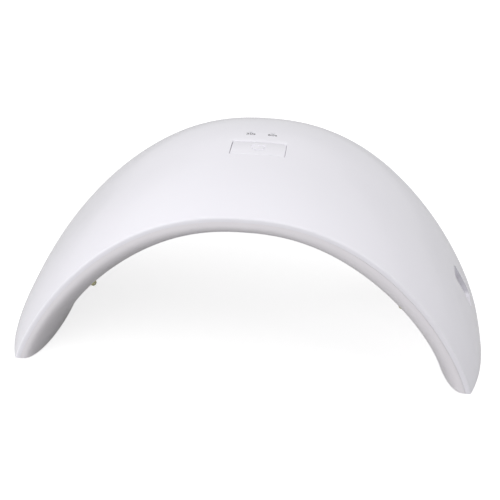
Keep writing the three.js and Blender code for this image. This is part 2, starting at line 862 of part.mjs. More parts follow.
function screw(name, radius, headRadius, headHeight, length, x, y, bottom) {
  const profile = [
    [0, 0],
    [headRadius, 0],
    [headRadius, headHeight],
    [radius, headHeight],
    [radius, headHeight + length],
    [0, headHeight + length],
  ];
  const slot = [headRadius, driveSlotWidth, driveSlotDepth + overrun];
  const across = [slot[1], slot[0], slot[2]];
  const solid = turned(profile, roundSides)
    .subtract(boxOn(slot, 0, 0, -overrun))
    .subtract(boxOn(across, 0, 0, -overrun));
  const mesh = piece(name, solid, finish(0xb8babf, 0.3, 1));
  mesh.position.set(x, y, bottom);
  return mesh;
}

function screwsAndPads() {
  const group = new THREE.Group();
  const pad = roundedPlate(padWidth, padDepth, padCorner, 0, padThickness);
  corners.forEach(({ side, end, name }) => {
    const sizes = [caseScrewRadius, caseScrewHeadRadius, caseScrewHeadHeight, caseScrewLength];
    const spot = [side * caseScrewX, end * caseScrewY, caseScrewSetBack];
    group.add(screw("case_screw_" + name, ...sizes, ...spot));
    const mesh = piece("foot_pad_" + name, pad, finish(0x8d8f94, 0.85, 0));
    mesh.position.set(side * padX, end * padY, -padProud);
    group.add(mesh);
  });
  sides.forEach(({ side, name }) => {
    const reach = boardThickness + boardScrewReach;
    const sizes = [boardScrewRadius, boardScrewHeadRadius, boardScrewHeadHeight, reach];
    const bottom = boardBottomZ - fitGap - boardScrewHeadHeight;
    group.add(screw("board_screw_" + name, ...sizes, side * postX, postY, bottom));
  });
  return group;
}

const lamp = new THREE.Group();
lamp.position.z = padProud;
lamp.add(outerShell(), innerPanel(), buttonCap(), tactSwitch());
lamp.add(timerLight("30", -1), timerLight("60", 1));
lamp.add(controlBoard(), boardParts());
lamp.add(ledStrip("led_strip_front", -stripRowY));
lamp.add(ledStrip("led_strip_middle", 0));
lamp.add(ledStrip("led_strip_back", stripRowY));
lamp.add(beads(), powerInlet(), powerWires());
lamp.add(stripLeads(), screwsAndPads());

export default lamp;
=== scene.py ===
"""Models a small arched nail-curing lamp: glossy shell, recessed light panel, push button and inlet."""
import math

import bmesh
import bpy
from bpy.props import FloatProperty, FloatVectorProperty, IntProperty, PointerProperty
from mathutils import Matrix, Vector


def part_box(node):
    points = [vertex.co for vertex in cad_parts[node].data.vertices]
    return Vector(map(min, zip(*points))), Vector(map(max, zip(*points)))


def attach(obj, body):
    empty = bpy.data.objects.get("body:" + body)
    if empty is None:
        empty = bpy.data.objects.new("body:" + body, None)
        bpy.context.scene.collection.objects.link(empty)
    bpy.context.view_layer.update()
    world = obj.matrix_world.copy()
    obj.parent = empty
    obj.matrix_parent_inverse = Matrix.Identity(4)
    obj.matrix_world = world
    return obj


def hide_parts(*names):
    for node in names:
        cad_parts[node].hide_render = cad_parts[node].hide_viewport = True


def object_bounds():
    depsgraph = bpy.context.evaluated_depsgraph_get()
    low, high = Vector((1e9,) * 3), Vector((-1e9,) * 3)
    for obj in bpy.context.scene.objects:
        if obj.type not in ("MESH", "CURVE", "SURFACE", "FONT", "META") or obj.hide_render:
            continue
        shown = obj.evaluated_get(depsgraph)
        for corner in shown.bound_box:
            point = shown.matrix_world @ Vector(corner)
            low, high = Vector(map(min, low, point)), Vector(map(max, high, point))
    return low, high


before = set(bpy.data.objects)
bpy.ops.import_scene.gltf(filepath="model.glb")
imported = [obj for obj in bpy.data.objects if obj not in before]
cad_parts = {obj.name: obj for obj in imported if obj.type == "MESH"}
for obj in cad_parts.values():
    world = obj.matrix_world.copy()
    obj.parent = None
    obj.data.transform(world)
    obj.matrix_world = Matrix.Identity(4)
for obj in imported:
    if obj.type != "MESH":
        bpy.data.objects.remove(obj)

bl_info = {
    "name": "Nail Lamp Modeller",
    "version": (1, 0, 0),
    "blender": (4, 5, 0),
    "location": "3D View > Sidebar > Nail Lamp",
    "description": "Models a small arched nail lamp piece by piece and sets it on a plain stage",
    "category": "Add Mesh",
}

cad_low, cad_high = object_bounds()
foot_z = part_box("inner_panel")[0].z
shell_low, shell_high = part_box("outer_shell")
plunger_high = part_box("tact_switch_plunger")[1]
board_low, board_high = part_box("control_board")
jack_low, jack_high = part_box("dc_jack_housing")
pin_low, pin_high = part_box("dc_jack_pin")

# Powers of the arch: flanks, crown, fall to the edges, growth in depth, and the panel's swell.
FLANK_POWER = 0.9
CROWN_POWER = 1.6
EDGE_POWER = 2.785
DEPTH_POWER = 1.4
SWELL_FOOT_POWER = 2.0
SWELL_CROWN_POWER = 2.94
SWELL_FOOT_ROOT = 0.467
SWELL_CROWN_ROOT = 0.437

# The beads of a row, as shares of the way from the right foot to the left one.
BEAD_SHARES = (0.188, 0.335, 0.445, 0.555, 0.665, 0.812)

# Steps of a search by halves, a length that counts as nothing, and small steps in place and in share.
HALVINGS = 36
TINY = 1e-7
SMALL_STEP = 1e-5
SMALL_SHARE = 1e-3

# Sides and cuts of the meshes, and the thickness of the rough arch as a share of the lamp's height.
ROUND_SIDES = 32
PLATE_CORNER_STEPS = 8
PLATE_CUTS = 15
ENVELOPE_SPANS = 28
ENVELOPE_STEPS = 84
ENVELOPE_SHARE = 0.3


def length(name, default, description):
    return FloatProperty(name=name, default=default, description=description, unit="LENGTH", precision=5)


def degrees(name, default, description):
    default = math.radians(default)
    return FloatProperty(name=name, default=default, description=description, subtype="ANGLE")


def millimetres(name, default, description):
    return FloatProperty(name=name, default=default, description=description, unit="CAMERA")


def factor(name, default, description):
    return FloatProperty(name=name, default=default, description=description, subtype="FACTOR")


def count(name, default, description):
    return IntProperty(name=name, default=default, description=description)


def colour(name, default, description):
    return FloatVectorProperty(
        name=name, default=default, description=description, subtype="COLOR", size=3, min=0.0, max=1.0
    )


class ArchSizes(bpy.types.PropertyGroup):
    width: length("Width", shell_high.x - shell_low.x, "Width over the feet")
    height: length("Height", shell_high.z - foot_z, "Height of the shell above the feet's underside")
    foot_depth: length("Foot depth", 0.1062, "Depth at the feet")
    crown_depth: length("Crown depth", 0.1092, "Depth at the crown")
    foot_fall: length("Foot fall", 0.00695, "Fall of the shell from middle to edges, at the feet")
    crown_fall: length("Crown fall", 0.00605, "Fall of the shell from middle to edges, at the crown")
    shell_wall: length("Shell wall", 0.002, "Thickness of the shell")
    panel_wall: length("Panel wall", 0.0018, "Thickness of the panel")
    foot_floor: length("Foot floor", 0.0024, "Thickness of the floor under each foot")
    foot_swell: length("Foot swell", 0.01085, "How far the panel swells inwards at feet and crown")
    flank_swell: length("Flank swell", 0.0127, "How far the panel swells inwards at the flanks")
    gap: length("Gap", 0.0003, "Gap between parts that meet")
    land: length("Land", 0.0006, "Width of the panel's flat edge beside the shell")
    parting: length("Parting gap", 0.00015, "Gap between panel and shell at the right foot")
    panel_inset: length("Panel inset", 0.00005, "How far the panel's edge stands back from the shell's")
    rim_round: length("Rim radius", 0.0007, "Rounding of the shell's outer rims")
    inner_rim: length("Inner rim radius", 0.00004, "Rounding of the shell's inner rims")
    shell_spans: count("Shell spans", 44, "Spans of the shell from front to back")
    panel_spans: count("Panel spans", 64, "Spans of the panel from front to back")
    steps: count("Arch steps", 112, "Steps from foot to foot")


class ButtonSizes(bpy.types.PropertyGroup):
    width: length("Width", 0.024, "Width of the push button")
    depth: length("Depth", 0.0145, "Depth of the push button from front to back")
    corner: length("Corner", 0.0005, "Corner radius of the push button")
    centre_y: length("Place", 0.0036, "Place of the button's middle from front to back")
    gap: length("Gap", 0.00014, "Gap between button and shell at the sides")
    end_gap: length("End gap", 0.0001, "Gap between button and shell at the front and the back")
    thickness: length("Thickness", 0.0042, "Thickness of the cap under the crown")
    lip: length("Lip", 0.0015, "How far the lip under the shell stands out")
    lip_thickness: length("Lip thickness", 0.001, "Thickness of the lip")
    stem_radius: length("Stem radius", 0.002, "Radius of the stem that presses the switch")
    edge_round: length("Edge radius", 0.0004, "Rounding of the cap's upper edge")
    tilt: length("Tilt", 0.0003, "How much lower the rear of the cap's top lies than its front")
    mark_radius: length("Mark radius", 0.0036, "Outer radius of the engraved power symbol")
    mark_line: length("Mark line", 0.0012, "Line width of the power symbol")
    mark_depth: length("Mark depth", 0.0006, "How deep the power symbol is cut")
    mark_shift: length("Mark shift", 0.001, "How far the symbol lies behind the button's middle")
    label_spacing: length("Timer spacing", 0.0098, "Distance between the two timer windows")
    label_y: length("Timer number place", 0.0198, "Place of the timer numbers from front to back")
    label_width: length("Timer number width", 0.0041, "Width of a timer number")
    label_raise: length("Print height", 0.00003, "Thickness of the printed numbers")
    window_y: length("Window place", 0.022, "Place of the small windows from front to back")
    window_radius: length("Window radius", 0.0007, "Radius of the small windows")
    window_gap: length("Window gap", 0.0001, "Gap between the small windows and the shell")
    rear_bevel: length("Rear bevel", 0.0014, "Width of the shell's bevel behind the button")
    bevel_slope: factor("Bevel slope", 0.25, "Fall of that bevel over its width")


class BeadSizes(bpy.types.PropertyGroup):
    row_y: length("Row distance", 0.035, "Distance of the outer rows from the middle row")
    radius: length("Radius", 0.0015, "Radius of a diode's dome")
    show: length("Show", 0.0014, "How far a dome stands out of the panel")
    flange_radius: length("Flange radius", 0.0022, "Radius of the diode's base")
    flange_height: length("Flange height", 0.0006, "Height of the diode's base")
    seat: length("Seat", 0.0005, "Gap between the diode's base and the panel's back")


class InletSizes(bpy.types.PropertyGroup):
    recess_width: length("Recess width", 0.0127, "Width of the recess from front to back")
    recess_height: length("Recess height", 0.0149, "Height of the recess")
    recess_floor: length("Recess floor", 0.014, "Height of the recess's floor above the feet")
    recess_y: length("Recess place", 0.00185, "Place of the recess's middle from front to back")
    recess_corner: length("Recess corner", 0.002, "Corner radius of the recess")
    collar_radius: length("Collar radius", 0.0043, "Outer radius of the inlet's collar")
    collar_show: length("Collar show", 0.0004, "How far the collar stands out of the recess's wall")
    bore_radius: length("Bore radius", 0.0028, "Radius of the inlet's bore")
    back_wall: length("Back wall", 0.0025, "Thickness of the inlet's back wall")
    pin_radius: length("Pin radius", 0.001, "Radius of the inlet's pin")
    cheek: length("Cheek", 0.0016, "Thickness of the cheeks that hold the inlet")
    cheek_length: length("Cheek length", 0.006, "Length of the cheeks that hold the inlet")


class FastenerSizes(bpy.types.PropertyGroup):
    case_x: length("Case screw X", 0.0934, "Distance of the case screws from the middle")
    case_y: length("Case screw Y", 0.022, "Distance of the case screws from the middle, front to back")
    case_radius: length("Case screw radius", 0.0013, "Radius of the case screws")
    case_head: length("Case screw head", 0.0026, "Radius of the case screws' heads")
    case_head_height: length("Case head height", 0.0016, "Height of the case screws' heads")
    case_length: length("Case screw length", 0.0095, "Length of the case screws' shafts")
    case_set_back: length("Case screw depth", 0.0003, "How far the heads lie above the feet's underside")
    board_x: length("Board screw X", 0.020, "Distance of the board screws from the middle")
    board_y: length("Board screw Y", 0.003, "Place of the board screws from front to back")
    board_radius: length("Board screw radius", 0.001, "Radius of the board screws")
    board_head: length("Board screw head", 0.0019, "Radius of the board screws' heads")
    board_head_height: length("Board head height", 0.0012, "Height of the board screws' heads")
    board_reach: length("Board screw reach", 0.0055, "How far the board screws reach into their posts")
    boss_radius: length("Boss radius", 0.003, "Radius of the shell's screw bosses")
    boss_top: length("Boss top", 0.027, "Height of the shell's screw bosses")
    seat_radius: length("Seat radius", 0.0044, "Radius of the panel's screw seats")
    seat_height: length("Seat height", 0.0046, "Height of the panel's screw seats")
    post_radius: length("Post radius", 0.0026, "Radius of the posts that hold the board")
    pad_width: length("Pad width", 0.007, "Width of a foot pad")
    pad_depth: length("Pad depth", 0.012, "Depth of a foot pad")
    pad_corner: length("Pad corner", 0.003, "Corner radius of a foot pad")
    pad_x: length("Pad X", 0.0938, "Distance of the foot pads from the middle")
    pad_y: length("Pad Y", 0.038, "Distance of the foot pads from the middle, front to back")
    pad_thickness: length("Pad thickness", 0.0009, "Thickness of a foot pad")


class FinishColours(bpy.types.PropertyGroup):
    shell: colour("Shell", (0.882, 0.868, 0.922), "Glossy white of the shell and the button")
    panel: colour("Panel", (0.85, 0.822, 0.858), "White of the inner panel")
    dome: colour("Dome", (0.86, 0.86, 0.62), "Tinted resin of the diodes' domes")
    phosphor: colour("Phosphor", (0.74, 0.68, 0.12), "Yellow-green chip under a dome")
    window: colour("Window", (0.8, 0.81, 0.86), "Clear plastic of the light guides")
    ink: colour("Ink", (0.035, 0.035, 0.04), "Print of the timer numbers")
    black: colour("Black plastic", (0.018, 0.018, 0.02), "Inlet, switch and chips")
    steel: colour("Steel", (0.55, 0.56, 0.58), "Screws")
    contact: colour("Contact", (0.78, 0.77, 0.74), "Inlet pin and contact")
    rubber: colour("Rubber", (0.2, 0.205, 0.22), "Foot pads")
    board: colour("Board", (0.025, 0.16, 0.06), "Circuit board")
    strip: colour("Strip", (0.86, 0.86, 0.83), "Diode strips")
    copper: colour("Copper", (0.75, 0.55, 0.3), "Bare pads on boards and strips")
    cream: colour("Cream plastic", (0.72, 0.68, 0.55), "Wire connector")
    ferrite: colour("Ferrite", (0.05, 0.05, 0.055), "Inductor")
    can: colour("Can", (0.6, 0.61, 0.63), "Capacitor can")
    red: colour("Red wire", (0.42, 0.02, 0.015), "Positive wire")
    white_wire: colour("White wire", (0.8, 0.8, 0.8), "Leads of the strips")
    floor: colour("Floor", (0.45, 0.45, 0.45), "Plain floor")


class StageSizes(bpy.types.PropertyGroup):
    camera: FloatVectorProperty(
        name="Camera",
        default=(0.038316, -0.480231, 0.288357),
        description="Place of the camera",
        subtype="TRANSLATION",
    )
    turn: degrees("Azimuth", 4.784, "Turn of the view")
    rise: degrees("Elevation", 27.897, "Tilt of the view")
    roll: degrees("Roll", 1.907, "Roll of the view")
    lens: millimetres("Lens", 86.506, "Focal length of the camera")
    sensor: millimetres("Sensor", 36.0, "Width of the camera's sensor")
    floor_size: length("Floor size", 8.0, "Side of the floor")
    floor_clearance: length("Floor clearance", 0.00005, "How far the floor lies under the foot pads")
    fill: factor("Fill", 0.235, "Strength of the plain light from all round")
    card_radius: length("Card radius", 0.9, "Radius of the grey card that the gloss mirrors all round")
    card_height: length("Card height", 0.34, "Height of the grey card")
    card_grey: factor("Card grey", 0.75, "Brightness of the grey card")


class Arch:
    """The curved faces that the shell and the panel follow, worked out from the arch's sizes."""

    def __init__(self, sizes):
        self.sizes = sizes
        self.half_width = sizes.width / 2
        self.land_sink = sizes.shell_wall + sizes.gap + sizes.land

    def crown_line(self, angle):
        """The line over the top in the middle plane, with the direction that points out of it."""
        across = math.cos(angle)
        up = max(math.sin(angle), 0.0)
        side = math.copysign(1.0, across)
        out_x = side * abs(across) ** (2 - FLANK_POWER) / (self.half_width * FLANK_POWER)
        out_z = up ** (2 - CROWN_POWER) / (self.sizes.height * CROWN_POWER)
        reach = math.hypot(out_x, out_z)
        x = side * self.half_width * abs(across) ** FLANK_POWER
        z = self.sizes.height * up ** CROWN_POWER
        return x, z, out_x / reach, out_z / reach

    def half_depth(self, angle):
        foot = self.sizes.foot_depth / 2
        rise = max(math.sin(angle), 0.0) ** CROWN_POWER
        return foot + (self.sizes.crown_depth / 2 - foot) * rise ** DEPTH_POWER

    def fall(self, angle):
        sizes = self.sizes
        return sizes.foot_fall + (sizes.crown_fall - sizes.foot_fall) * math.sin(angle) ** 2

    def shell_drop(self, angle, y):
        return self.fall(angle) * abs(y / self.half_depth(angle)) ** EDGE_POWER

    def panel_drop(self, angle, share):
        sizes = self.sizes
        high = math.sin(angle) ** 4
        swell = sizes.foot_swell + (sizes.flank_swell - sizes.foot_swell) * 4 * high * (1 - high)
        power = SWELL_FOOT_POWER + (SWELL_CROWN_POWER - SWELL_FOOT_POWER) * high
        root = SWELL_FOOT_ROOT + (SWELL_CROWN_ROOT - SWELL_FOOT_ROOT) * high
        return self.fall(angle) + self.land_sink + swell * max(1 - abs(share) ** power, 0.0) ** root

    def place(self, angle, y, drop):
        """The point at an angle and a y that lies a drop below the crown line."""
        x, z, out_x, out_z = self.crown_line(angle)
        return Vector((x - drop * out_x, y, foot_z + z - drop * out_z))

    def shell_line(self, share, inset, sink):
        """A line along the shell from foot to foot: its y and its drop, both by angle."""
        side = (share > 0) - (share < 0)
        y = lambda angle: share * self.half_depth(angle) - side * inset
        return y, lambda angle: self.shell_drop(angle, y(angle)) + sink

    def panel_y(self, share, inset):
        return lambda angle: share * (self.half_depth(angle) - self.sizes.panel_inset - inset)

    def panel_line(self, share, inset, sink):
        """A line along the panel's face, towards the hand."""
        return self.panel_y(share, inset), lambda angle: self.panel_drop(angle, share) + sink

    def panel_back_line(self, share, inset, sink):
        """A line along the panel's back. The parting gap closes from the right foot to the left one."""
        y = self.panel_y(share, inset)
        gap = lambda angle: self.sizes.parting * (1 + math.cos(angle)) / 2
        return y, lambda angle: self.shell_drop(angle, y(angle)) + gap(angle) + sink

    def panel_row_line(self, row_y):
        """A line along the panel's face at a fixed y."""
        share = lambda angle: row_y / (self.half_depth(angle) - self.sizes.panel_inset)
        return lambda angle: row_y, lambda angle: self.panel_drop(angle, share(angle))

    def foot_angle(self, line):
        """The angle at which a line rises out of the plane under the feet."""
        low, high = 0.0, math.pi / 2
        for _ in range(HALVINGS):
            middle = (low + high) / 2
            if self.place(middle, 0, line[1](middle)).z > foot_z:
                high = middle
            else:
                low = middle
        return high

    def point_on(self, line, share):
        """The point of a line at a share of its way from the right foot to the left one."""
        start = self.foot_angle(line)
        angle = start + (math.pi - 2 * start) * share
        return self.place(angle, line[0](angle), line[1](angle))

    def rail(self, line, steps):
        """The points of a line from foot to foot, its ends flat on the plane under the feet."""
        start = self.foot_angle(line)
        angles = [start + (math.pi - 2 * start) * k / steps for k in range(steps + 1)]
        points = [self.place(angle, line[0](angle), line[1](angle)) for angle in angles]
        points[0].z = foot_z
        points[-1].z = foot_z
        return points

    def height_at(self, x, y):
        """The height of the shell's outer face over a point of the floor."""
        low, high = 0.0, math.pi
        for _ in range(HALVINGS):
            middle = (low + high) / 2
            if self.place(middle, y, self.shell_drop(middle, y)).x > x:
                low = middle
            else:
                high = middle
        return self.place(high, y, self.shell_drop(high, y)).z

    def flank_x(self, height):
        """How far out the crown line lies at a height above the feet."""
        angle = math.asin((height / self.sizes.height) ** (1 / CROWN_POWER))
        return self.crown_line(angle)[0]


def shares_across(spans):
    """Shares from the front edge to the back edge, closer together near the edges."""
    return [-math.cos(math.pi * k / spans) for k in range(spans + 1)]


def only(piece):
    """Makes one object the selected and active one."""
    bpy.ops.object.select_all(action="DESELECT")
    piece.select_set(True)
    bpy.context.view_layer.objects.active = piece
    return piece


def edit(piece):
    only(piece)
    bpy.ops.object.mode_set(mode="EDIT")


def leave():
    bpy.ops.object.mode_set(mode="OBJECT")


def pick(piece, faces=None, edges=None):
    """In edit mode, selects just the faces, or just the edges, that pass a test."""
    bpy.ops.mesh.select_mode(type="FACE" if faces else "EDGE")
    bpy.ops.mesh.select_all(action="DESELECT")
    mesh = bmesh.from_edit_mesh(piece.data)
    for face in mesh.faces:
        face.select_set(bool(faces and faces(face)))
    if edges:
        for edge in mesh.edges:
            edge.select_set(edges(edge))
    mesh.select_flush_mode()
    bmesh.update_edit_mesh(piece.data)


def added(name):
    """Names the primitive that was just added and puts its place into its mesh."""
    piece = bpy.context.object
    piece.name = name
    piece.data.name = name
    bpy.ops.object.transform_apply(location=True, rotation=True, scale=True)
    return piece


def face_outwards(piece):
    edit(piece)
    bpy.ops.mesh.select_all(action="SELECT")
    bpy.ops.mesh.remove_doubles(threshold=TINY)
    bpy.ops.mesh.normals_make_consistent(inside=False)
    leave()


def smooth(piece, angle=35):
    only(piece)
    bpy.ops.object.shade_smooth_by_angle(angle=math.radians(angle))


def combine(target, other, operation):
    """Joins, cuts or trims the target with another solid, which is then used up."""
    only(target)
    modifier = target.modifiers.new(operation.title(), "BOOLEAN")
    modifier.operation = operation
    modifier.solver = "EXACT"
    modifier.use_self = operation != "INTERSECT"
    modifier.object = other
    bpy.ops.object.modifier_apply(modifier=modifier.name)
    bpy.data.objects.remove(other)
    return target


def joined(name, pieces):
    bpy.ops.object.select_all(action="DESELECT")
    for piece in pieces:
        piece.select_set(True)
    bpy.context.view_layer.objects.active = pieces[0]
    bpy.ops.object.join()
    pieces[0].name = name
    return pieces[0]


def soften(piece, width, segments=3, angle=40):
    """Bevels every edge that is sharper than an angle."""
    only(piece)
    modifier = piece.modifiers.new("Soften", "BEVEL")
    modifier.width = width
    modifier.segments = segments
    modifier.limit_method = "ANGLE"
    modifier.angle_limit = math.radians(angle)
    bpy.ops.object.modifier_apply(modifier=modifier.name)
    return piece


def bent_solid(name, arch, ring, steps):
    """A capped cylinder with one side per section line, cut into rings and laid along the arch."""
    bpy.ops.mesh.primitive_cylinder_add(vertices=len(ring), radius=1, depth=2, end_fill_type="NGON")
    piece = added(name)
    edit(piece)
    pick(piece, edges=lambda edge: abs(edge.verts[0].co.z - edge.verts[1].co.z) > 1)
    bpy.ops.mesh.subdivide(number_cuts=steps - 1)
    leave()
    rails = [arch.rail(line, steps) for line in ring]
    turn = 2 * math.pi / len(ring)
    for vertex in piece.data.vertices:
        line = round(math.atan2(vertex.co.x, vertex.co.y) / turn) % len(ring)
        step = round((vertex.co.z + 1) / 2 * steps)
        vertex.co = rails[line][step]
    face_outwards(piece)
    return piece


def envelope(arch, sink):
    """A rough thick arch whose outer face lies at a sink under the shell's."""
    outer = [arch.shell_line(share, 0, sink) for share in shares_across(ENVELOPE_SPANS)]
    inner = [arch.shell_line(side, 0, arch.sizes.height * ENVELOPE_SHARE) for side in (1, -1)]
    return bent_solid("envelope", arch, outer + inner, ENVELOPE_STEPS)


def block(name, low, high, axis=None, corner=0.0, segments=6):
    """A box between two corners. The edges along one axis can be rounded."""
    low, high = Vector(low), Vector(high)
    bpy.ops.mesh.primitive_cube_add(size=1, location=(low + high) / 2, scale=high - low)
    piece = added(name)
    if axis is not None:
        edit(piece)
        others = [k for k in range(3) if k != axis]
        along = lambda edge: all(abs(edge.verts[0].co[k] - edge.verts[1].co[k]) < TINY for k in others)
        pick(piece, edges=along)
        bpy.ops.mesh.bevel(offset=corner, segments=segments, affect="EDGES")
        leave()
    return piece


def turned(name, profile, sides=ROUND_SIDES):
    """A round solid on the Z axis: a disc, extruded and resized from one profile point to the next."""
    radius, height = profile[0]
    start = (0, 0, height)
    bpy.ops.mesh.primitive_circle_add(vertices=sides, radius=radius, fill_type="NGON", location=start)
    piece = added(name)
    edit(piece)
    bpy.ops.mesh.select_mode(type="FACE")
    bpy.ops.mesh.select_all(action="SELECT")
    for next_radius, next_height in profile[1:]:
        rise = (0, 0, next_height - height)
        bpy.ops.mesh.extrude_region_move(TRANSFORM_OT_translate={"value": rise})
        grow = next_radius / radius
        bpy.ops.transform.resize(value=(grow, grow, 1), center_override=(0, 0, next_height))
        radius, height = next_radius, next_height
    leave()
    face_outwards(piece)
    return piece


def rod(name, radius, low, high, x, y):
    bpy.ops.mesh.primitive_cylinder_add(
        vertices=ROUND_SIDES, radius=radius, depth=high - low, location=(x, y, (low + high) / 2)
    )
    return added(name)


def moved(piece, matrix):
    piece.data.transform(matrix)
    piece.data.update()
    return piece


def twin(piece, name, matrix):
    """A copy with a mesh of its own, put in place."""
    other = piece.copy()
    other.data = piece.data.copy()
    other.name = name
    other.data.name = name
    bpy.context.scene.collection.objects.link(other)
    return moved(other, matrix)


def plate(name, width, depth, corner, centre_y, bottom):
    """A flat rounded rectangle with its long edges cut up, so that it can bend."""

    def long_edge(edge):
        start, end = edge.verts[0].co, edge.verts[1].co
        return edge.calc_length() > 2 * corner and abs(start.y - end.y) < TINY

    bpy.ops.mesh.primitive_plane_add(size=1, location=(0, centre_y, bottom))
    bpy.context.object.scale = (width, depth, 1)
    piece = added(name)
    edit(piece)
    bpy.ops.mesh.select_all(action="SELECT")
    bpy.ops.mesh.bevel(offset=corner, segments=PLATE_CORNER_STEPS, affect="VERTICES")
    pick(piece, edges=long_edge)
    bpy.ops.mesh.subdivide(number_cuts=PLATE_CUTS)
    bpy.ops.mesh.select_mode(type="FACE")
    bpy.ops.mesh.select_all(action="SELECT")
    leave()
    return piece


def raise_top(height):
    """Extrudes what is selected straight up."""
    bpy.ops.mesh.extrude_region_move(TRANSFORM_OT_translate={"value": (0, 0, height)})


def widen_top(width, depth, grow, centre):
    """Scales what is selected so that a plate of this size grows by the same border all round."""
    ratio = ((width + 2 * grow) / width, (depth + 2 * grow) / depth, 1)
    bpy.ops.transform.resize(value=ratio, center_override=centre)


def follow_shell(piece, arch, above):
    """Bends what lies above a height to the shell's outer face."""
    crown = foot_z + arch.sizes.height
    for vertex in piece.data.vertices:
        if vertex.co.z > above:
            vertex.co.z += arch.height_at(vertex.co.x, vertex.co.y) - crown
    piece.data.update()


def hand_over(piece, body, slot, *nodes):
    """Gives a piece its body and hides the nodes that it stands for. The slot is not used."""
    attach(piece, body)
    if nodes:
        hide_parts(*nodes)


# Materials


class Graph:
    """Adds nodes to a node tree. An input takes a plain value or the output of another node."""

    def __init__(self, tree):
        self.tree = tree

    def feed(self, target, value):
        if isinstance(value, (int, float, tuple)):
            target.default_value = value
        else:
            self.tree.links.new(value, target)

    def node(self, kind, inputs, **settings):
        """The outputs of a new node."""
        made = self.tree.nodes.new("ShaderNode" + kind)
        for name, value in settings.items():
            setattr(made, name, value)
        for key, value in inputs.items():
            self.feed(made.inputs[key], value)
        return made.outputs

    def maths(self, operation, first, second):
        return self.node("Math", {0: first, 1: second}, operation=operation)[0]

    def blended(self, share, first, second, mode="MIX"):
        """Two colours mixed. Inputs 6 and 7 and output 2 are the colour sockets of a Mix node."""
        return self.node("Mix", {0: share, 6: first, 7: second}, data_type="RGBA", blend_type=mode)[2]

    def noise(self, place, scale, detail=3.0):
        return self.node("TexNoise", {"Vector": place, "Scale": scale, "Detail": detail})["Fac"]

    def object_place(self):
        return self.node("TexCoord", {})["Object"]


def group_graph(name, inputs):
    """A shader node group with these inputs that puts out a colour, a roughness and a height."""
    tree = bpy.data.node_groups.new(name, "ShaderNodeTree")
    for title, default in inputs.items():
        kind = "NodeSocketColor" if isinstance(default, tuple) else "NodeSocketFloat"
        tree.interface.new_socket(name=title, in_out="INPUT", socket_type=kind).default_value = default
    tree.interface.new_socket(name="Color", in_out="OUTPUT", socket_type="NodeSocketColor")
    tree.interface.new_socket(name="Roughness", in_out="OUTPUT", socket_type="NodeSocketFloat")
    tree.interface.new_socket(name="Height", in_out="OUTPUT", socket_type="NodeSocketFloat")
    given = tree.nodes.new("NodeGroupInput").outputs
    return Graph(tree), given, tree.nodes.new("NodeGroupOutput").inputs


def moulded_group(name):
    """Moulded plastic: a faint drift of tone, uneven gloss and a fine skin."""
    inputs = {
        "Color": (0.8, 0.8, 0.8, 1),
        "Drift": 0.02,
        "Drift Scale": 30.0,
        "Roughness": 0.2,
        "Gloss Spread": 0.04,
        "Skin Scale": 900.0,
    }
    graph, given, result = group_graph(name, inputs)
    place = graph.object_place()
    drift = graph.maths("SUBTRACT", graph.noise(place, given["Drift Scale"]), 0.5)
    shade = graph.maths("ADD", graph.maths("MULTIPLY", drift, given["Drift"]), 1.0)
    grey = graph.node("CombineColor", {channel: shade for channel in range(3)})[0]
    graph.feed(result["Color"], graph.blended(1.0, given["Color"], grey, "MULTIPLY"))
    finer_scale = graph.maths("MULTIPLY", given["Drift Scale"], 5.0)
    uneven = graph.maths("SUBTRACT", graph.noise(place, finer_scale), 0.5)
    spread = graph.maths("MULTIPLY", uneven, given["Gloss Spread"])
    graph.feed(result["Roughness"], graph.maths("ADD", given["Roughness"], spread))
    graph.feed(result["Height"], graph.noise(place, given["Skin Scale"], 2.0))
    return graph.tree


def brushed_group(name):
    """Metal with fine lines across the Z axis and a few darker touches."""
    inputs = {"Color": (0.6, 0.6, 0.6, 1), "Line Scale": 400.0, "Roughness": 0.25, "Spread": 0.15}
    graph, given, result = group_graph(name, inputs)
    place = graph.object_place()
    drawn_out = graph.node("Mapping", {"Vector": place, "Scale": (1.0, 1.0, 12.0)})["Vector"]
    lines = graph.noise(drawn_out, given["Line Scale"], 4.0)
    touches = graph.noise(place, 300.0)
    darker = graph.blended(1.0, given["Color"], (0.7, 0.7, 0.72, 1), "MULTIPLY")
    graph.feed(result["Color"], graph.blended(touches, given["Color"], darker))
    spread = graph.maths("MULTIPLY", lines, given["Spread"])
    graph.feed(result["Roughness"], graph.maths("ADD", given["Roughness"], spread))
    graph.feed(result["Height"], lines)
    return graph.tree


def printed_group(name):
    """A printed circuit: fields of one colour with darker lines between them, and bare pads."""
    inputs = {
        "Color": (0.02, 0.15, 0.06, 1),
        "Pad Color": (0.75, 0.55, 0.3, 1),
        "Track Scale": 260.0,
        "Pad Size": 0.2,
    }
    graph, given, result = group_graph(name, inputs)
    cells = {"Vector": graph.object_place(), "Scale": given["Track Scale"]}
    from_line = graph.node("TexVoronoi", cells, feature="DISTANCE_TO_EDGE")["Distance"]
    from_spot = graph.node("TexVoronoi", {**cells, "Randomness": 0.3})["Distance"]
    field = graph.maths("GREATER_THAN", from_line, 0.1)
    pad = graph.maths("LESS_THAN", from_spot, given["Pad Size"])
    darker = graph.blended(1.0, given["Color"], (0.75, 0.75, 0.75, 1), "MULTIPLY")
    ground = graph.blended(field, darker, given["Color"])
    graph.feed(result["Color"], graph.blended(pad, ground, given["Pad Color"]))
    graph.feed(result["Roughness"], graph.maths("SUBTRACT", 0.5, graph.maths("MULTIPLY", pad, 0.25)))
    graph.feed(result["Height"], graph.maths("ADD", field, pad))
    return graph.tree


GROUPS = {
    "Moulded plastic": moulded_group,
    "Brushed metal": brushed_group,
    "Printed circuit": printed_group,
}


MOULDED, BRUSHED, PRINTED = GROUPS


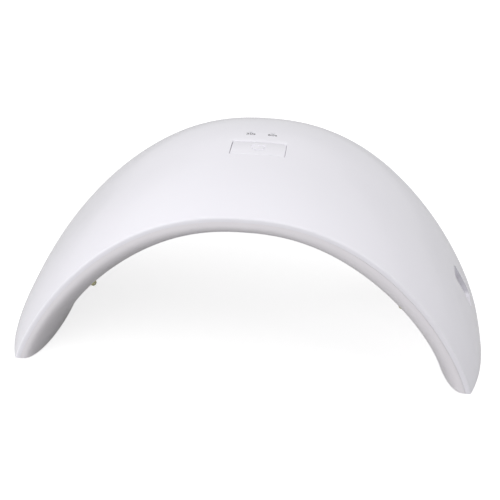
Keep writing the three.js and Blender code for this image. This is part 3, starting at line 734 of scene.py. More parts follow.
def plain_moulding(name, roughness):
    settings = {"Drift": 0.12, "Drift Scale": 200.0, "Roughness": roughness, "Skin Scale": 2500.0}
    return name, MOULDED, settings, {}, (0.15, 0.00002)


# Each finish, under the colour that it takes: its name, its group, the group's values, the shader's own
# values, and the strength and depth of its bump.
FINISHES = {
    "shell": (
        "Glossy white shell", MOULDED,
        {"Drift": 0.012, "Drift Scale": 18.0, "Roughness": 0.17, "Gloss Spread": 0.03},
        {"Specular IOR Level": 0.3}, (0.02, 0.00002),
    ),
    "panel": (
        "Half-gloss white panel", MOULDED,
        {"Drift": 0.02, "Drift Scale": 40.0, "Roughness": 0.3, "Gloss Spread": 0.06},
        {"Specular IOR Level": 0.3}, (0.05, 0.00003),
    ),
    "black": (
        "Black moulding", MOULDED,
        {"Drift": 0.3, "Roughness": 0.4, "Gloss Spread": 0.15, "Skin Scale": 2500.0},
        {"IOR": 1.5}, (0.15, 0.00003),
    ),
    "dome": (
        "Domed resin", MOULDED,
        {"Drift": 0.05, "Drift Scale": 400.0, "Roughness": 0.08},
        {"IOR": 1.42, "Transmission Weight": 0.75}, (0.02, 0.00001),
    ),
    "phosphor": (
        "Yellow-green chip", MOULDED,
        {"Drift": 0.3, "Drift Scale": 2500.0, "Roughness": 0.6},
        {}, (0.2, 0.00002),
    ),
    "window": (
        "Clear light guide", MOULDED,
        {"Drift": 0.05, "Drift Scale": 500.0, "Roughness": 0.12},
        {"Transmission Weight": 0.1}, (0.03, 0.00001),
    ),
    "ink": (
        "Printed ink", MOULDED,
        {"Drift": 0.4, "Drift Scale": 3000.0, "Roughness": 0.5},
        {}, (0.1, 0.00001),
    ),
    "rubber": (
        "Grey rubber", MOULDED,
        {"Drift": 0.25, "Drift Scale": 300.0, "Roughness": 0.8, "Skin Scale": 4000.0},
        {"IOR": 1.5}, (0.4, 0.00008),
    ),
    "red": plain_moulding("Red insulation", 0.45),
    "white_wire": plain_moulding("White insulation", 0.45),
    "cream": plain_moulding("Cream connector", 0.5),
    "ferrite": plain_moulding("Ferrite", 0.6),
    "steel": ("Plated steel", BRUSHED, {}, {"Metallic": 1.0}, (0.1, 0.00002)),
    "contact": (
        "Bright contact", BRUSHED,
        {"Roughness": 0.12, "Line Scale": 900.0}, {"Metallic": 1.0}, (0.05, 0.00001),
    ),
    "can": (
        "Drawn can", BRUSHED,
        {"Roughness": 0.3, "Line Scale": 700.0}, {"Metallic": 1.0}, (0.1, 0.00002),
    ),
    "board": ("Green circuit board", PRINTED, {}, {"Coat Weight": 0.3}, (0.3, 0.00003)),
    "strip": (
        "White circuit strip", PRINTED,
        {"Track Scale": 180.0, "Pad Size": 0.12}, {}, (0.2, 0.00003),
    ),
}


def finish(colours, key):
    """A material: its group feeds colour, roughness and bump, and plain values go on the shader."""
    name, group, settings, plain, (strength, depth) = FINISHES[key]
    if name in bpy.data.materials:
        return bpy.data.materials[name]
    material = bpy.data.materials.new(name)
    material.use_nodes = True
    tree = material.node_tree
    graph = Graph(tree)
    shader = tree.nodes["Principled BSDF"].inputs
    skin = tree.nodes.new("ShaderNodeGroup")
    skin.node_tree = bpy.data.node_groups.get(group) or GROUPS[group](group)
    skin.inputs["Color"].default_value = (*getattr(colours, key), 1)
    if "Pad Color" in skin.inputs:
        skin.inputs["Pad Color"].default_value = (*colours.copper, 1)
    for title, value in settings.items():
        skin.inputs[title].default_value = value
    graph.feed(shader["Base Color"], skin.outputs["Color"])
    graph.feed(shader["Roughness"], skin.outputs["Roughness"])
    bump = {"Strength": strength, "Distance": depth, "Height": skin.outputs["Height"]}
    graph.feed(shader["Normal"], graph.node("Bump", bump)["Normal"])
    for title, value in plain.items():
        shader[title].default_value = value
    return material


def wear(piece, material):
    """Puts a material on every face of a piece."""
    piece.data.materials.clear()
    piece.data.materials.append(material)


# Operators


class ModelOperator(bpy.types.Operator):
    """Shared by the operators that model: the arch, the sizes and the colours of the scene."""

    bl_options = {"REGISTER", "UNDO"}

    def prepare(self, context):
        scene = context.scene
        self.arch = Arch(scene.nail_lamp_arch)
        self.button = scene.nail_lamp_button
        self.bead = scene.nail_lamp_bead
        self.inlet = scene.nail_lamp_inlet
        self.fastener = scene.nail_lamp_fastener
        self.colours = scene.nail_lamp_colours
        self.gap = self.arch.sizes.gap
        self.top = foot_z + self.arch.sizes.height


def recess_face_x(arch, inlet):
    return arch.flank_x(inlet.recess_floor + inlet.recess_height)


def recess_block(name, arch, inlet, margin, face_x):
    """A rounded block as wide and high as the recess and its margin, from its face outwards."""
    floor = foot_z + inlet.recess_floor
    ceiling = floor + inlet.recess_height
    half = inlet.recess_width / 2 + margin
    low = (face_x, inlet.recess_y - half, floor - margin)
    high = (arch.half_width + inlet.recess_width, inlet.recess_y + half, ceiling + margin)
    return block(name, low, high, axis=0, corner=inlet.recess_corner + margin, segments=8)


def corners(x, y):
    """The four corners of the feet, with the names of their sides."""
    for side, side_name in ((-1, "left"), (1, "right")):
        for end, end_name in ((-1, "front"), (1, "back")):
            yield side * x, end * y, side_name + "_" + end_name


class NAIL_LAMP_OT_shell(ModelOperator):
    """Models the glossy outer shell with its recess, its bosses and its openings"""

    bl_idname = "nail_lamp.shell"
    bl_label = "Outer shell"
    rim_steps = 6
    chamfer_share = 0.7

    def ring(self):
        """The shell's section lines: outer face, front rim, inner face, back rim."""
        arch, sizes = self.arch, self.arch.sizes
        wall, rim, inner_rim = sizes.shell_wall, sizes.rim_round, sizes.inner_rim
        inside = shares_across(sizes.shell_spans)[1:-1]
        turns = [math.pi / 2 * k / self.rim_steps for k in range(self.rim_steps + 1)]

        def rim_lines(side):
            falling = [(1 - math.sin(turn), 1 - math.cos(turn)) for turn in turns]
            outer = [(rim * first, rim * second) for first, second in falling]
            inner = [(inner_rim * second, wall - inner_rim * first) for first, second in falling]
            return [arch.shell_line(side, inset, sink) for inset, sink in outer + inner]

        face = [arch.shell_line(share, rim, 0) for share in inside]
        under = [arch.shell_line(share, rim, wall) for share in reversed(inside)]
        return face + rim_lines(1) + under + rim_lines(-1)[::-1]

    def inner_parts(self):
        """The recess's wall, the cheeks that hold the inlet, the screw bosses and the board's posts."""
        arch, inlet, fastener, gap = self.arch, self.inlet, self.fastener, self.gap
        wall = arch.sizes.shell_wall
        back = recess_face_x(arch, inlet) - wall
        parts = [recess_block("recess_wall", arch, inlet, wall, back)]
        for side in (-1, 1):
            near = (jack_high.y if side > 0 else jack_low.y) + side * gap
            ends = sorted((near, near + side * inlet.cheek))
            low = (back - inlet.cheek_length, ends[0], jack_low.z)
            parts.append(block("cheek", low, (back + wall / 2, ends[1], jack_high.z)))
        for x, y, _ in corners(fastener.case_x, fastener.case_y):
            bottom = foot_z + fastener.seat_height + gap
            parts.append(rod("boss", fastener.boss_radius, bottom, foot_z + fastener.boss_top, x, y))
        for x in (-fastener.board_x, fastener.board_x):
            low = board_high.z + gap
            parts.append(rod("post", fastener.post_radius, low, self.top, x, fastener.board_y))
        return combine(joined("inner_parts", parts), envelope(arch, wall / 2), "INTERSECT")

    def opening(self):
        """What is cut for the button, flared a little at its top and bevelled at the rear."""
        button, top = self.button, self.top
        width, depth = button.width + 2 * button.gap, button.depth + 2 * button.end_gap
        chamfer = button.gap * self.chamfer_share
        bottom = top - 2 * self.arch.sizes.shell_wall
        bevel_low = top - button.rear_bevel * button.bevel_slope
        cutter = plate("opening", width, depth, button.corner + button.end_gap, button.centre_y, bottom)
        edit(cutter)
        raise_top(bevel_low - bottom)
        raise_top(top - chamfer - bevel_low)
        raise_top(2 * chamfer)
        widen_top(width, depth, 2 * chamfer, (0, button.centre_y, top + chamfer))
        leave()
        for vertex in cutter.data.vertices:
            if vertex.co.y > button.centre_y and vertex.co.z > bevel_low:
                vertex.co.y += (vertex.co.z - bevel_low) / button.bevel_slope
        follow_shell(cutter, self.arch, bottom + SMALL_STEP)
        face_outwards(cutter)
        return cutter

    def cutters(self):
        """The openings of the button, the recess, the inlet, the windows and the screws."""
        arch, button, inlet, fastener, gap = self.arch, self.button, self.inlet, self.fastener, self.gap
        wall = arch.sizes.shell_wall
        face_x = recess_face_x(arch, inlet)
        cuts = [self.opening(), recess_block("recess", arch, inlet, 0, face_x)]
        radius = inlet.collar_radius + gap
        hole = turned("collar_hole", [(radius, -2 * wall), (radius, wall)])
        place = Matrix.Translation((face_x, inlet.recess_y, (jack_low.z + jack_high.z) / 2))
        cuts.append(moved(hole, place @ Matrix.Rotation(math.pi / 2, 4, "Y")))
        low, high = self.top - 2 * wall, self.top + wall
        reach = board_high.z + fastener.board_reach + gap
        for side in (-1, 1):
            x = side * button.label_spacing / 2
            radius = button.window_radius + button.window_gap
            cuts.append(rod("window_hole", radius, low, high, x, button.window_y))
            x = side * fastener.board_x
            radius = fastener.board_radius + gap
            cuts.append(rod("post_hole", radius, board_low.z, reach, x, fastener.board_y))
        head_top = foot_z + fastener.case_set_back + fastener.case_head_height
        screw_top = head_top + fastener.case_length + gap
        for x, y, _ in corners(fastener.case_x, fastener.case_y):
            cuts.append(rod("boss_hole", fastener.case_radius + gap, foot_z, screw_top, x, y))
        return joined("shell_cuts", cuts)

    def execute(self, context):
        self.prepare(context)
        shell = bent_solid("moulded_shell", self.arch, self.ring(), self.arch.sizes.steps)
        combine(shell, self.inner_parts(), "UNION")
        combine(shell, self.cutters(), "DIFFERENCE")
        smooth(shell)
        wear(shell, finish(self.colours, "shell"))
        hand_over(shell, "housing", "shell_white", "outer_shell")
        return {"FINISHED"}


class NAIL_LAMP_OT_panel(ModelOperator):
    """Models the inner panel with its bead holes, its feet and the seats of the screws and pads"""

    bl_idname = "nail_lamp.panel"
    bl_label = "Inner panel"

    def solid(self, name, inset, face_raise, back_sink):
        """A solid between the panel's face, raised behind it, and the shell's outer face, sunk."""
        arch, shares = self.arch, shares_across(self.arch.sizes.panel_spans)
        backs = [arch.panel_back_line(share, inset, back_sink) for share in shares]
        faces = [arch.panel_line(share, inset, -face_raise) for share in reversed(shares)]
        return bent_solid(name, arch, backs + faces, arch.sizes.steps)

    def cavity(self):
        """The hollow between the panel's wall and the shell, closed by the floor of the feet."""
        sizes = self.arch.sizes
        sink = sizes.gap + sizes.shell_wall / 2
        cavity = self.solid("cavity", sizes.panel_wall, sizes.panel_wall, sink)
        edit(cavity)
        bpy.ops.mesh.select_all(action="SELECT")
        floor = (0, 0, foot_z + sizes.foot_floor)
        bpy.ops.mesh.bisect(plane_co=floor, plane_no=(0, 0, 1), use_fill=True, clear_inner=True)
        leave()
        face_outwards(cavity)
        return cavity

    def seats(self):
        fastener = self.fastener
        top = foot_z + fastener.seat_height
        low = foot_z + self.arch.sizes.foot_floor / 2
        places = corners(fastener.case_x, fastener.case_y)
        posts = [rod("seat", fastener.seat_radius, low, top, x, y) for x, y, _ in places]
        return joined("seats", posts)

    def bead_hole(self):
        """A hole with a small countersink on the side of the hand."""
        wall, gap = self.arch.sizes.panel_wall, self.gap
        radius = self.bead.radius + gap
        profile = [(radius, -2 * wall), (radius, -gap), (radius + 2 * gap, gap)]
        return turned("bead_hole", profile, sides=28)

    def cutters(self):
        """The holes of the case screws, the seats of the pads and the holes of the beads."""
        fastener, gap = self.fastener, self.gap
        head_top = foot_z + fastener.case_set_back + fastener.case_head_height + gap
        below = foot_z - gap
        cuts = []
        for x, y, _ in corners(fastener.case_x, fastener.case_y):
            cuts.append(rod("head_hole", fastener.case_head + 2 * gap, below, head_top, x, y))
            top = foot_z + fastener.seat_height + gap
            cuts.append(rod("screw_hole", fastener.case_radius + gap, head_top - gap, top, x, y))
        for x, y, _ in corners(fastener.pad_x, fastener.pad_y):
            half = Vector((fastener.pad_width / 2 + gap, fastener.pad_depth / 2 + gap))
            top = cad_low.z + fastener.pad_thickness + gap
            low, high = (x - half.x, y - half.y, below), (x + half.x, y + half.y, top)
            cuts.append(block("pad_seat", low, high, axis=2, corner=fastener.pad_corner + gap))
        hole = self.bead_hole()
        for number, place in enumerate(bead_places(self.arch, self.bead)):
            cuts.append(twin(hole, "bead_hole_" + str(number), place))
        bpy.data.objects.remove(hole)
        return joined("panel_cuts", cuts)

    def execute(self, context):
        self.prepare(context)
        panel = self.solid("moulded_panel", 0, 0, self.arch.sizes.shell_wall + TINY)
        combine(panel, self.cavity(), "DIFFERENCE")
        combine(panel, self.seats(), "UNION")
        combine(panel, self.cutters(), "DIFFERENCE")
        smooth(panel)
        wear(panel, finish(self.colours, "panel"))
        hand_over(panel, "housing", "panel_white", "inner_panel")
        return {"FINISHED"}


class NAIL_LAMP_OT_button(ModelOperator):
    """Models the push button with its lip, its stem and the engraved power symbol"""

    bl_idname = "nail_lamp.button"
    bl_label = "Push button"
    fillet_steps = 4
    top_cuts = 6
    ring_sides = 60
    opening_angle = math.radians(60)
    bar_reach_share = 1.2
    groove_share = 0.42

    def cap(self):
        """The cap on its lip, with a rounded edge and a top that leans back and follows the crown."""
        button, top = self.button, self.top
        bottom = top - button.thickness
        lip_top = bottom + button.lip_thickness
        width, depth = button.width + 2 * button.lip, button.depth + 2 * button.lip
        cap = plate("moulded_button", width, depth, button.corner + button.lip, button.centre_y, bottom)
        edit(cap)
        raise_top(button.lip_thickness)
        bpy.ops.mesh.inset(thickness=button.lip, depth=0)
        raise_top(button.thickness - button.lip_thickness - button.edge_round)
        for step in range(self.fillet_steps):
            near, far = (math.pi / 2 * k / self.fillet_steps for k in (step, step + 1))
            inwards = button.edge_round * (math.cos(near) - math.cos(far))
            upwards = button.edge_round * (math.sin(far) - math.sin(near))
            bpy.ops.mesh.inset(thickness=inwards, depth=upwards)
        half = button.width / 2 - 2 * button.corner
        on_top = lambda face: face.calc_center_median().z > top - TINY * 10 and face.normal.z > 0.99
        for step in range(-self.top_cuts, self.top_cuts + 1):
            pick(cap, faces=on_top)
            bpy.ops.mesh.bisect(plane_co=(half * step / self.top_cuts, 0, 0), plane_no=(1, 0, 0))
        leave()
        for vertex in cap.data.vertices:
            if vertex.co.z > lip_top + SMALL_STEP:
                vertex.co.z -= button.tilt * (0.5 + (vertex.co.y - button.centre_y) / button.depth)
        follow_shell(cap, self.arch, lip_top + SMALL_STEP)
        face_outwards(cap)
        return cap

    def symbol(self):
        """What is cut for a ring that is open at the back, with a bar in the opening, as V grooves."""
        button = self.button
        middle = Vector((0, button.centre_y + button.mark_shift, self.top - button.mark_depth))
        bpy.ops.mesh.primitive_circle_add(
            vertices=self.ring_sides, radius=button.mark_radius, fill_type="NGON", location=middle
        )
        ring = added("symbol_ring")
        edit(ring)
        bpy.ops.mesh.select_mode(type="FACE")
        bpy.ops.mesh.select_all(action="SELECT")
        bpy.ops.mesh.inset(thickness=button.mark_line, depth=0)

        def unwanted(face):
            offset = face.calc_center_median() - middle
            behind = abs(math.atan2(offset.x, offset.y)) < self.opening_angle / 2
            return behind or offset.length < button.mark_radius / 2

        pick(ring, faces=unwanted)
        bpy.ops.mesh.delete(type="FACE")
        bpy.ops.mesh.select_all(action="SELECT")
        raise_top(3 * button.mark_depth)
        leave()
        half_line, high = button.mark_line / 2, 3 * button.mark_depth
        reach = button.mark_radius - button.mark_line
        start = middle + Vector((-half_line, reach / 2, 0))
        end = middle + Vector((half_line, reach * self.bar_reach_share, high))
        symbol = joined("symbol", [ring, block("symbol_bar", start, end)])
        face_outwards(symbol)
        soften(symbol, button.mark_line * self.groove_share, 2)
        follow_shell(symbol, self.arch, 0)
        return symbol

    def execute(self, context):
        self.prepare(context)
        button, gap, radius = self.button, self.gap, self.button.stem_radius
        cap = self.cap()
        bottom = self.top - button.thickness
        stem_low = plunger_high.z + gap
        stem_high = bottom + button.lip_thickness / 2
        profile = [(radius - gap, stem_low), (radius, stem_low + gap), (radius, stem_high)]
        stem = moved(turned("stem", profile), Matrix.Translation((0, button.centre_y, 0)))
        combine(cap, stem, "UNION")
        combine(cap, self.symbol(), "DIFFERENCE")
        smooth(cap, 30)
        wear(cap, finish(self.colours, "shell"))
        hand_over(cap, "button", "button_white", "button_cap")
        return {"FINISHED"}


class NAIL_LAMP_OT_timer(ModelOperator):
    """Models the two small windows behind the button and prints their timer numbers"""

    bl_idname = "nail_lamp.timer"
    bl_label = "Timer windows and numbers"
    curve_steps = 4
    shank_share = 2 / 3

    def number(self, name, text, x):
        """A number printed on the shell, as a thin raised layer of ink."""
        button = self.button
        bpy.ops.object.text_add()
        letters = bpy.context.object
        letters.data.body = text
        letters.data.align_x = "CENTER"
        letters.data.align_y = "CENTER"
        letters.data.resolution_u = self.curve_steps
        bpy.ops.object.convert(target="MESH")
        piece = added(name)
        size = button.label_width / piece.dimensions.x
        place = Matrix.Translation((x, button.label_y, self.top))
        moved(piece, place @ Matrix.Diagonal((size, size, 1, 1)))
        edit(piece)
        bpy.ops.mesh.select_all(action="SELECT")
        bpy.ops.mesh.remove_doubles(threshold=TINY)
        raise_top(button.label_raise)
        leave()
        follow_shell(piece, self.arch, 0)
        face_outwards(piece)
        wear(piece, finish(self.colours, "ink"))
        hand_over(piece, "housing", "marking_ink")

    def window(self, name, node, x):
        """A light guide that stands over its diode and widens to a flange under the shell."""
        low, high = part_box(node)
        button, top = self.button, self.top
        body = (high.x - low.x) / 2
        shank = body * self.shank_share
        flange = top - button.thickness + button.lip_thickness
        round_off = button.window_radius / 4
        profile = [
            (shank - round_off, low.z),
            (shank, low.z + round_off),
            (shank, flange - body / 2),
            (body, flange - body / 2),
            (body, flange),
            (button.window_radius, flange),
            (button.window_radius, top - round_off),
            (button.window_radius - round_off, top),
            (button.window_radius / 4, top + round_off / 4),
        ]
        piece = moved(turned(name, profile, sides=24), Matrix.Translation((x, button.window_y, 0)))
        follow_shell(piece, self.arch, flange + round_off)
        smooth(piece)
        wear(piece, finish(self.colours, "window"))
        hand_over(piece, "housing", "clear_plastic", node)

    def execute(self, context):
        self.prepare(context)
        for side, number in ((-1, "30"), (1, "60")):
            x = side * self.button.label_spacing / 2
            self.number("timer_number_" + number, number + "s", x)
            self.window("timer_window_" + number, "light_guide_" + number, x)
        return {"FINISHED"}


def bead_places(arch, bead):
    """The places of the beads on the panel's face, each turned so that Z points into the hand space."""
    places = []
    for row_y in (-bead.row_y, 0.0, bead.row_y):
        for share in BEAD_SHARES:
            face = lambda y, shift: arch.point_on(arch.panel_row_line(y), share + shift)
            along = face(row_y, SMALL_SHARE) - face(row_y, -SMALL_SHARE)
            aside = face(row_y + SMALL_STEP, 0) - face(row_y - SMALL_STEP, 0)
            turn = along.cross(aside).normalized().to_track_quat("Z", "Y").to_matrix().to_4x4()
            places.append(Matrix.Translation(face(row_y, 0)) @ turn)
    return places


class NAIL_LAMP_OT_beads(ModelOperator):
    """Models one domed diode and copies it to every hole of the panel"""

    bl_idname = "nail_lamp.beads"
    bl_label = "Domed diodes"
    dome_steps = 7
    chip_share = 0.72
    chip_top_share = 0.85

    def dome(self):
        """The diode's base and dome on the Z axis, with the panel's face at 0."""
        bead = self.bead
        top = -self.arch.sizes.panel_wall - bead.seat
        bottom = top - bead.flange_height
        edge = bead.flange_height / 6
        profile = [
            (bead.flange_radius - edge, bottom),
            (bead.flange_radius, bottom + edge),
            (bead.flange_radius, top - edge),
            (bead.flange_radius - edge, top),
            (bead.radius, top),
        ]
        start = bead.show - bead.radius
        for step in range(self.dome_steps):
            turn = math.pi / 2 * step / self.dome_steps
            profile.append((bead.radius * math.cos(turn), start + bead.radius * math.sin(turn)))
        profile.append((bead.radius / 40, bead.show))
        return turned("bead", profile, sides=24)

    def chip(self):
        """The chip inside the diode, seen through the dome."""
        bead = self.bead
        radius = bead.radius * self.chip_share
        low, high = -self.arch.sizes.panel_wall, bead.show - bead.radius
        top = (radius * self.chip_top_share, high + bead.flange_height / 3)
        return turned("chip", [(radius, low), (radius, high), top], sides=16)

    def execute(self, context):
        self.prepare(context)
        dome, chip = self.dome(), self.chip()
        wear(dome, finish(self.colours, "dome"))
        wear(chip, finish(self.colours, "phosphor"))
        template = joined("bead", [dome, chip])
        smooth(template)
        for number, place in enumerate(bead_places(self.arch, self.bead), 1):
            name = str(number).zfill(2)
            diode = twin(template, "diode_" + name, place)
            hand_over(diode, "housing", "bead_phosphor", "uv_bead_" + name)
        bpy.data.objects.remove(template)
        return {"FINISHED"}


class NAIL_LAMP_OT_inlet(ModelOperator):
    """Models the power inlet with its bored collar, and its pin"""

    bl_idname = "nail_lamp.inlet"
    bl_label = "Power inlet"
    pin_round_shares = ((1, 0.6), (0.86, 0.25), (0.6, 0))

    def execute(self, context):
        self.prepare(context)
        inlet, gap, radius = self.inlet, self.gap, self.inlet.pin_radius
        middle = Vector((0, (jack_low.y + jack_high.y) / 2, (jack_low.z + jack_high.z) / 2))
        front = recess_face_x(self.arch, inlet) + inlet.collar_show
        body_front = front - inlet.collar_show - self.arch.sizes.shell_wall - gap
        bore_back = jack_low.x + inlet.back_wall
        lay = Matrix.Translation(middle) @ Matrix.Rotation(math.pi / 2, 4, "Y")
        high = (body_front, jack_high.y, jack_high.z)
        housing = block("inlet_housing", jack_low, high, axis=0, corner=2 * gap)
        collar = [
            (inlet.collar_radius, body_front - gap),
            (inlet.collar_radius, front - gap / 2),
            (inlet.collar_radius - gap / 2, front),
        ]
        bore = [
            (inlet.bore_radius, bore_back),
            (inlet.bore_radius, front - gap),
            (inlet.bore_radius + gap, front),
            (inlet.bore_radius + 2 * gap, front + gap),
        ]
        pin_hole = [(radius + gap, jack_low.x - gap), (radius + gap, bore_back + gap)]
        combine(housing, moved(turned("collar", collar, sides=48), lay), "UNION")
        combine(housing, moved(turned("bore", bore, sides=48), lay), "DIFFERENCE")
        combine(housing, moved(turned("pin_hole", pin_hole), lay), "DIFFERENCE")
        smooth(housing)
        wear(housing, finish(self.colours, "black"))
        hand_over(housing, "housing", "black_plastic", "dc_jack_housing")
        tip = [(radius * wide, pin_high.x - radius * back) for wide, back in self.pin_round_shares]
        pin = moved(turned("inlet_pin", [(radius, pin_low.x), *tip]), lay)
        smooth(pin)
        wear(pin, finish(self.colours, "contact"))
        hand_over(pin, "housing", "contact_metal", "dc_jack_pin")
        return {"FINISHED"}


class NAIL_LAMP_OT_fasteners(ModelOperator):
    """Models the cross-head screws and the rubber foot pads"""

    bl_idname = "nail_lamp.fasteners"
    bl_label = "Screws and foot pads"
    thread_turns = 9
    core_share = 0.8
    arm_share = 0.55
    slot_share = 0.24
    slot_depth_share = 0.6

    def screw(self, name, radius, head, head_height, reach):
        """A pan head with a cross recess and a ribbed shaft, standing on its head."""
        edge = head_height / 4
        core = radius * self.core_share
        profile = [
            (head - 2 * edge, 0),
            (head - edge / 2, edge / 2),
            (head, 1.5 * edge),
            (head, head_height),
            (core, head_height),
        ]
        pitch = reach / (self.thread_turns + 1)
        for turn in range(self.thread_turns):
            base = head_height + pitch * (turn + 0.5)
            profile += [(core, base), (radius, base + pitch / 3), (core, base + 2 * pitch / 3)]
        profile += [(core, head_height + reach - pitch / 2), (core / 3, head_height + reach)]
        screw = turned(name, profile, sides=24)
        arm, half_slot = head * self.arm_share, head * self.slot_share / 2
        depth = head_height * self.slot_depth_share
        along = block("recess_arm", (-arm, -half_slot, -depth), (arm, half_slot, depth))
        across = block("recess_arm", (-half_slot, -arm, -depth), (half_slot, arm, depth))
        combine(screw, joined("cross", [along, across]), "DIFFERENCE")
        smooth(screw, 30)
        wear(screw, finish(self.colours, "steel"))
        return screw

    def pad(self):
        fastener = self.fastener
        half = Vector((fastener.pad_width / 2, fastener.pad_depth / 2))
        low, high = (-half.x, -half.y, 0), (half.x, half.y, fastener.pad_thickness)
        pad = block("pad", low, high, axis=2, corner=fastener.pad_corner, segments=10)
        soften(pad, fastener.pad_thickness / 5, 3, 60)
        smooth(pad)
        wear(pad, finish(self.colours, "rubber"))
        return pad

    def execute(self, context):
        self.prepare(context)
        fastener = self.fastener
        head = (fastener.case_head, fastener.case_head_height)
        case = self.screw("case", fastener.case_radius, *head, fastener.case_length)
        for x, y, name in corners(fastener.case_x, fastener.case_y):
            place = Matrix.Translation((x, y, foot_z + fastener.case_set_back))
            screw = twin(case, "cross_screw_" + name, place)
            hand_over(screw, "housing", "screw_steel", "case_screw_" + name)
        reach = board_high.z - board_low.z + fastener.board_reach
        head = (fastener.board_head, fastener.board_head_height)
        small = self.screw("small", fastener.board_radius, *head, reach)
        low = board_low.z - self.gap - fastener.board_head_height
        for side, name in ((-1, "left"), (1, "right")):
            place = Matrix.Translation((side * fastener.board_x, fastener.board_y, low))
            screw = twin(small, "small_screw_" + name, place)
            hand_over(screw, "housing", "screw_steel", "board_screw_" + name)
        pad = self.pad()
        for x, y, name in corners(fastener.pad_x, fastener.pad_y):
            place = Matrix.Translation((x, y, cad_low.z))
            foot = twin(pad, "rubber_pad_" + name, place)
            hand_over(foot, "housing", "pad_rubber", "foot_pad_" + name)
        for template in (case, small, pad):
            bpy.data.objects.remove(template)
        return {"FINISHED"}


class NAIL_LAMP_OT_insides(ModelOperator):
    """Gives the board, the strips, the switch and the wires inside the lamp their finishes"""

    bl_idname = "nail_lamp.insides"
    bl_label = "Finishes of the inner pieces"
    finish_of = {
        "control_board": "board",
        "controller_chip": "black",
        "driver_mosfet": "black",
        "tact_switch_body": "black",
        "tact_switch_plunger": "black",
        "power_wire_negative": "black",
        "power_wire_positive": "red",
        "power_connector": "cream",
        "driver_inductor": "ferrite",
        "smoothing_capacitor": "can",
        "dc_jack_contact": "contact",
        "indicator_led_30": "dome",
        "indicator_led_60": "dome",
        "led_strip_front": "strip",
        "led_strip_middle": "strip",
        "led_strip_back": "strip",
        "strip_lead_front": "white_wire",
        "strip_lead_middle": "white_wire",
        "strip_lead_back": "white_wire",
    }

    def execute(self, context):
        self.prepare(context)
        for node, key in self.finish_of.items():
            wear(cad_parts[node], finish(self.colours, key))
        return {"FINISHED"}


def seen_directly(graph, mirrored_share):
    """One for rays straight from the camera or through glass, and a share for rays off a gloss."""
    path = graph.node("LightPath", {})
    mirrored = graph.maths("MULTIPLY", path["Is Glossy Ray"], mirrored_share)
    seen = graph.maths("MAXIMUM", path["Is Camera Ray"], path["Is Transmission Ray"])
    return graph.maths("MAXIMUM", seen, mirrored)


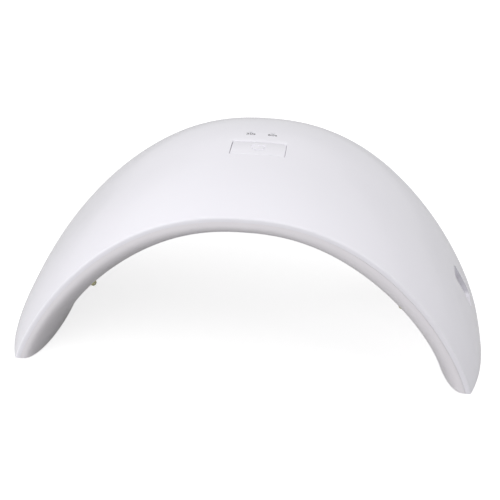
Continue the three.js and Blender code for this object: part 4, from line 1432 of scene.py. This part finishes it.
class NAIL_LAMP_OT_stage(bpy.types.Operator):
    """Sets the floor, the soft boxes, the plain world and the camera"""

    bl_idname = "nail_lamp.stage"
    bl_label = "Stage, light and camera"
    bl_options = {"REGISTER", "UNDO"}
    backdrop_glow = 0.75
    glow_rise = 0.2
    mirrored_share = 0.26
    card_sides = 96
    # Each soft box: its place, its width and height, and its brightness.
    soft_boxes = {
        "front_box": ((-0.618, -1.07, 0.697), 1.4, 0.9, 2.85),
        "top_box": ((0.7, 0, 1.252), 2.0, 1.4, 1.52),
        "left_box": ((-1.358, 0, 0.379), 1.6, 0.6, 1.82),
    }

    def soft_box(self, name, place, width, height, brightness):
        """An area light that faces the lamp and isn't mirrored, so many times as bright as white."""
        bpy.ops.object.light_add(type="AREA", location=place)
        light = bpy.context.object
        light.name = name
        light.data.shape = "RECTANGLE"
        light.data.size = width
        light.data.size_y = height
        light.data.energy = brightness * math.pi * width * height
        light.visible_glossy = False
        towards_lamp = Vector((0, 0, shell_high.z / 2)) - light.location
        light.rotation_euler = towards_lamp.to_track_quat("-Z", "Y").to_euler()

    def glowing(self, name):
        """A matt material that glows white, with its shader's inputs."""
        material = bpy.data.materials.new(name)
        material.use_nodes = True
        shader = material.node_tree.nodes["Principled BSDF"].inputs
        shader["Specular IOR Level"].default_value = 0.0
        shader["Emission Color"].default_value = (1, 1, 1, 1)
        return material, shader

    def grey_card(self, stage):
        """A card all round, seen in the gloss alone, that darkens what the shell's low sides mirror."""
        bpy.ops.mesh.primitive_cylinder_add(
            vertices=self.card_sides, radius=stage.card_radius, depth=stage.card_height,
            end_fill_type="NOTHING", location=(0, 0, stage.card_height / 2),
        )
        card = added("grey_card")
        material, shader = self.glowing("Grey card")
        shader["Base Color"].default_value = (0, 0, 0, 1)
        shader["Emission Strength"].default_value = stage.card_grey
        wear(card, material)
        card.visible_camera = False
        card.visible_diffuse = False
        card.visible_transmission = False
        card.visible_shadow = False

    def floor(self, stage, colours):
        """A pale floor that glows for direct rays, more so farther out, and keeps the shadow."""
        place = (0, 0, cad_low.z - stage.floor_clearance)
        bpy.ops.mesh.primitive_plane_add(size=stage.floor_size, location=place)
        floor = added("floor")
        material, shader = self.glowing("Pale floor")
        graph = Graph(material.node_tree)
        shader["Base Color"].default_value = (*colours.floor, 1)
        shader["Roughness"].default_value = 0.9
        distance = graph.node("VectorMath", {0: graph.object_place()}, operation="LENGTH")["Value"]
        rise = graph.maths("MULTIPLY", distance, self.glow_rise)
        glow = graph.maths("MINIMUM", graph.maths("ADD", rise, self.backdrop_glow), 1.0)
        seen = seen_directly(graph, self.mirrored_share)
        graph.feed(shader["Emission Strength"], graph.maths("MULTIPLY", glow, seen))
        wear(floor, material)

    def world(self, scene, stage):
        """A world that lights with the fill alone and looks white."""
        world = bpy.data.worlds.new("Plain white")
        world.use_nodes = True
        graph = Graph(world.node_tree)
        sky = world.node_tree.nodes["Background"].inputs
        sky["Color"].default_value = (1, 1, 1, 1)
        lifted = graph.maths("MULTIPLY", seen_directly(graph, 1.0), 1 - stage.fill)
        graph.feed(sky["Strength"], graph.maths("ADD", lifted, stage.fill))
        scene.world = world

    def camera(self, scene, stage):
        """The camera at its place, turned by its azimuth, elevation and roll."""
        bpy.ops.object.camera_add()
        camera = bpy.context.object
        rise, turn = stage.rise, stage.turn
        level = math.cos(rise)
        back = Vector((math.sin(turn) * level, -math.cos(turn) * level, math.sin(rise)))
        right = Vector((math.cos(turn), math.sin(turn), 0))
        axes = Matrix((right, back.cross(right), back)).transposed()
        turned_axes = (axes @ Matrix.Rotation(stage.roll, 3, "Z")).to_4x4()
        camera.matrix_world = Matrix.Translation(stage.camera) @ turned_axes
        camera.data.lens = stage.lens
        camera.data.sensor_width = stage.sensor
        scene.camera = camera

    def execute(self, context):
        scene = context.scene
        stage = scene.nail_lamp_stage
        self.floor(stage, scene.nail_lamp_colours)
        self.world(scene, stage)
        self.grey_card(stage)
        for name, box in self.soft_boxes.items():
            self.soft_box(name, *box)
        self.camera(scene, stage)
        scene.view_settings.view_transform = "Standard"
        return {"FINISHED"}


class NAIL_LAMP_PT_pieces(bpy.types.Panel):
    """Lists the operators in the order in which they build the lamp"""

    bl_idname = "NAIL_LAMP_PT_pieces"
    bl_label = "Nail lamp"
    bl_space_type = "VIEW_3D"
    bl_region_type = "UI"
    bl_category = "Nail Lamp"

    def draw(self, context):
        for operator in OPERATORS:
            self.layout.operator(operator.bl_idname)


OPERATORS = (
    NAIL_LAMP_OT_shell,
    NAIL_LAMP_OT_panel,
    NAIL_LAMP_OT_button,
    NAIL_LAMP_OT_timer,
    NAIL_LAMP_OT_beads,
    NAIL_LAMP_OT_inlet,
    NAIL_LAMP_OT_fasteners,
    NAIL_LAMP_OT_insides,
    NAIL_LAMP_OT_stage,
)
SETTINGS = {
    "nail_lamp_arch": ArchSizes,
    "nail_lamp_button": ButtonSizes,
    "nail_lamp_bead": BeadSizes,
    "nail_lamp_inlet": InletSizes,
    "nail_lamp_fastener": FastenerSizes,
    "nail_lamp_colours": FinishColours,
    "nail_lamp_stage": StageSizes,
}


def register():
    for made in (*SETTINGS.values(), *OPERATORS, NAIL_LAMP_PT_pieces):
        bpy.utils.register_class(made)
    for name, group in SETTINGS.items():
        setattr(bpy.types.Scene, name, PointerProperty(type=group))


def unregister():
    for name in SETTINGS:
        delattr(bpy.types.Scene, name)
    for made in reversed((*SETTINGS.values(), *OPERATORS, NAIL_LAMP_PT_pieces)):
        bpy.utils.unregister_class(made)


def main():
    register()
    bpy.ops.nail_lamp.shell()
    bpy.ops.nail_lamp.panel()
    bpy.ops.nail_lamp.button()
    bpy.ops.nail_lamp.timer()
    bpy.ops.nail_lamp.beads()
    bpy.ops.nail_lamp.inlet()
    bpy.ops.nail_lamp.fasteners()
    bpy.ops.nail_lamp.insides()
    bpy.ops.nail_lamp.stage()


if __name__ == "__main__":
    main()
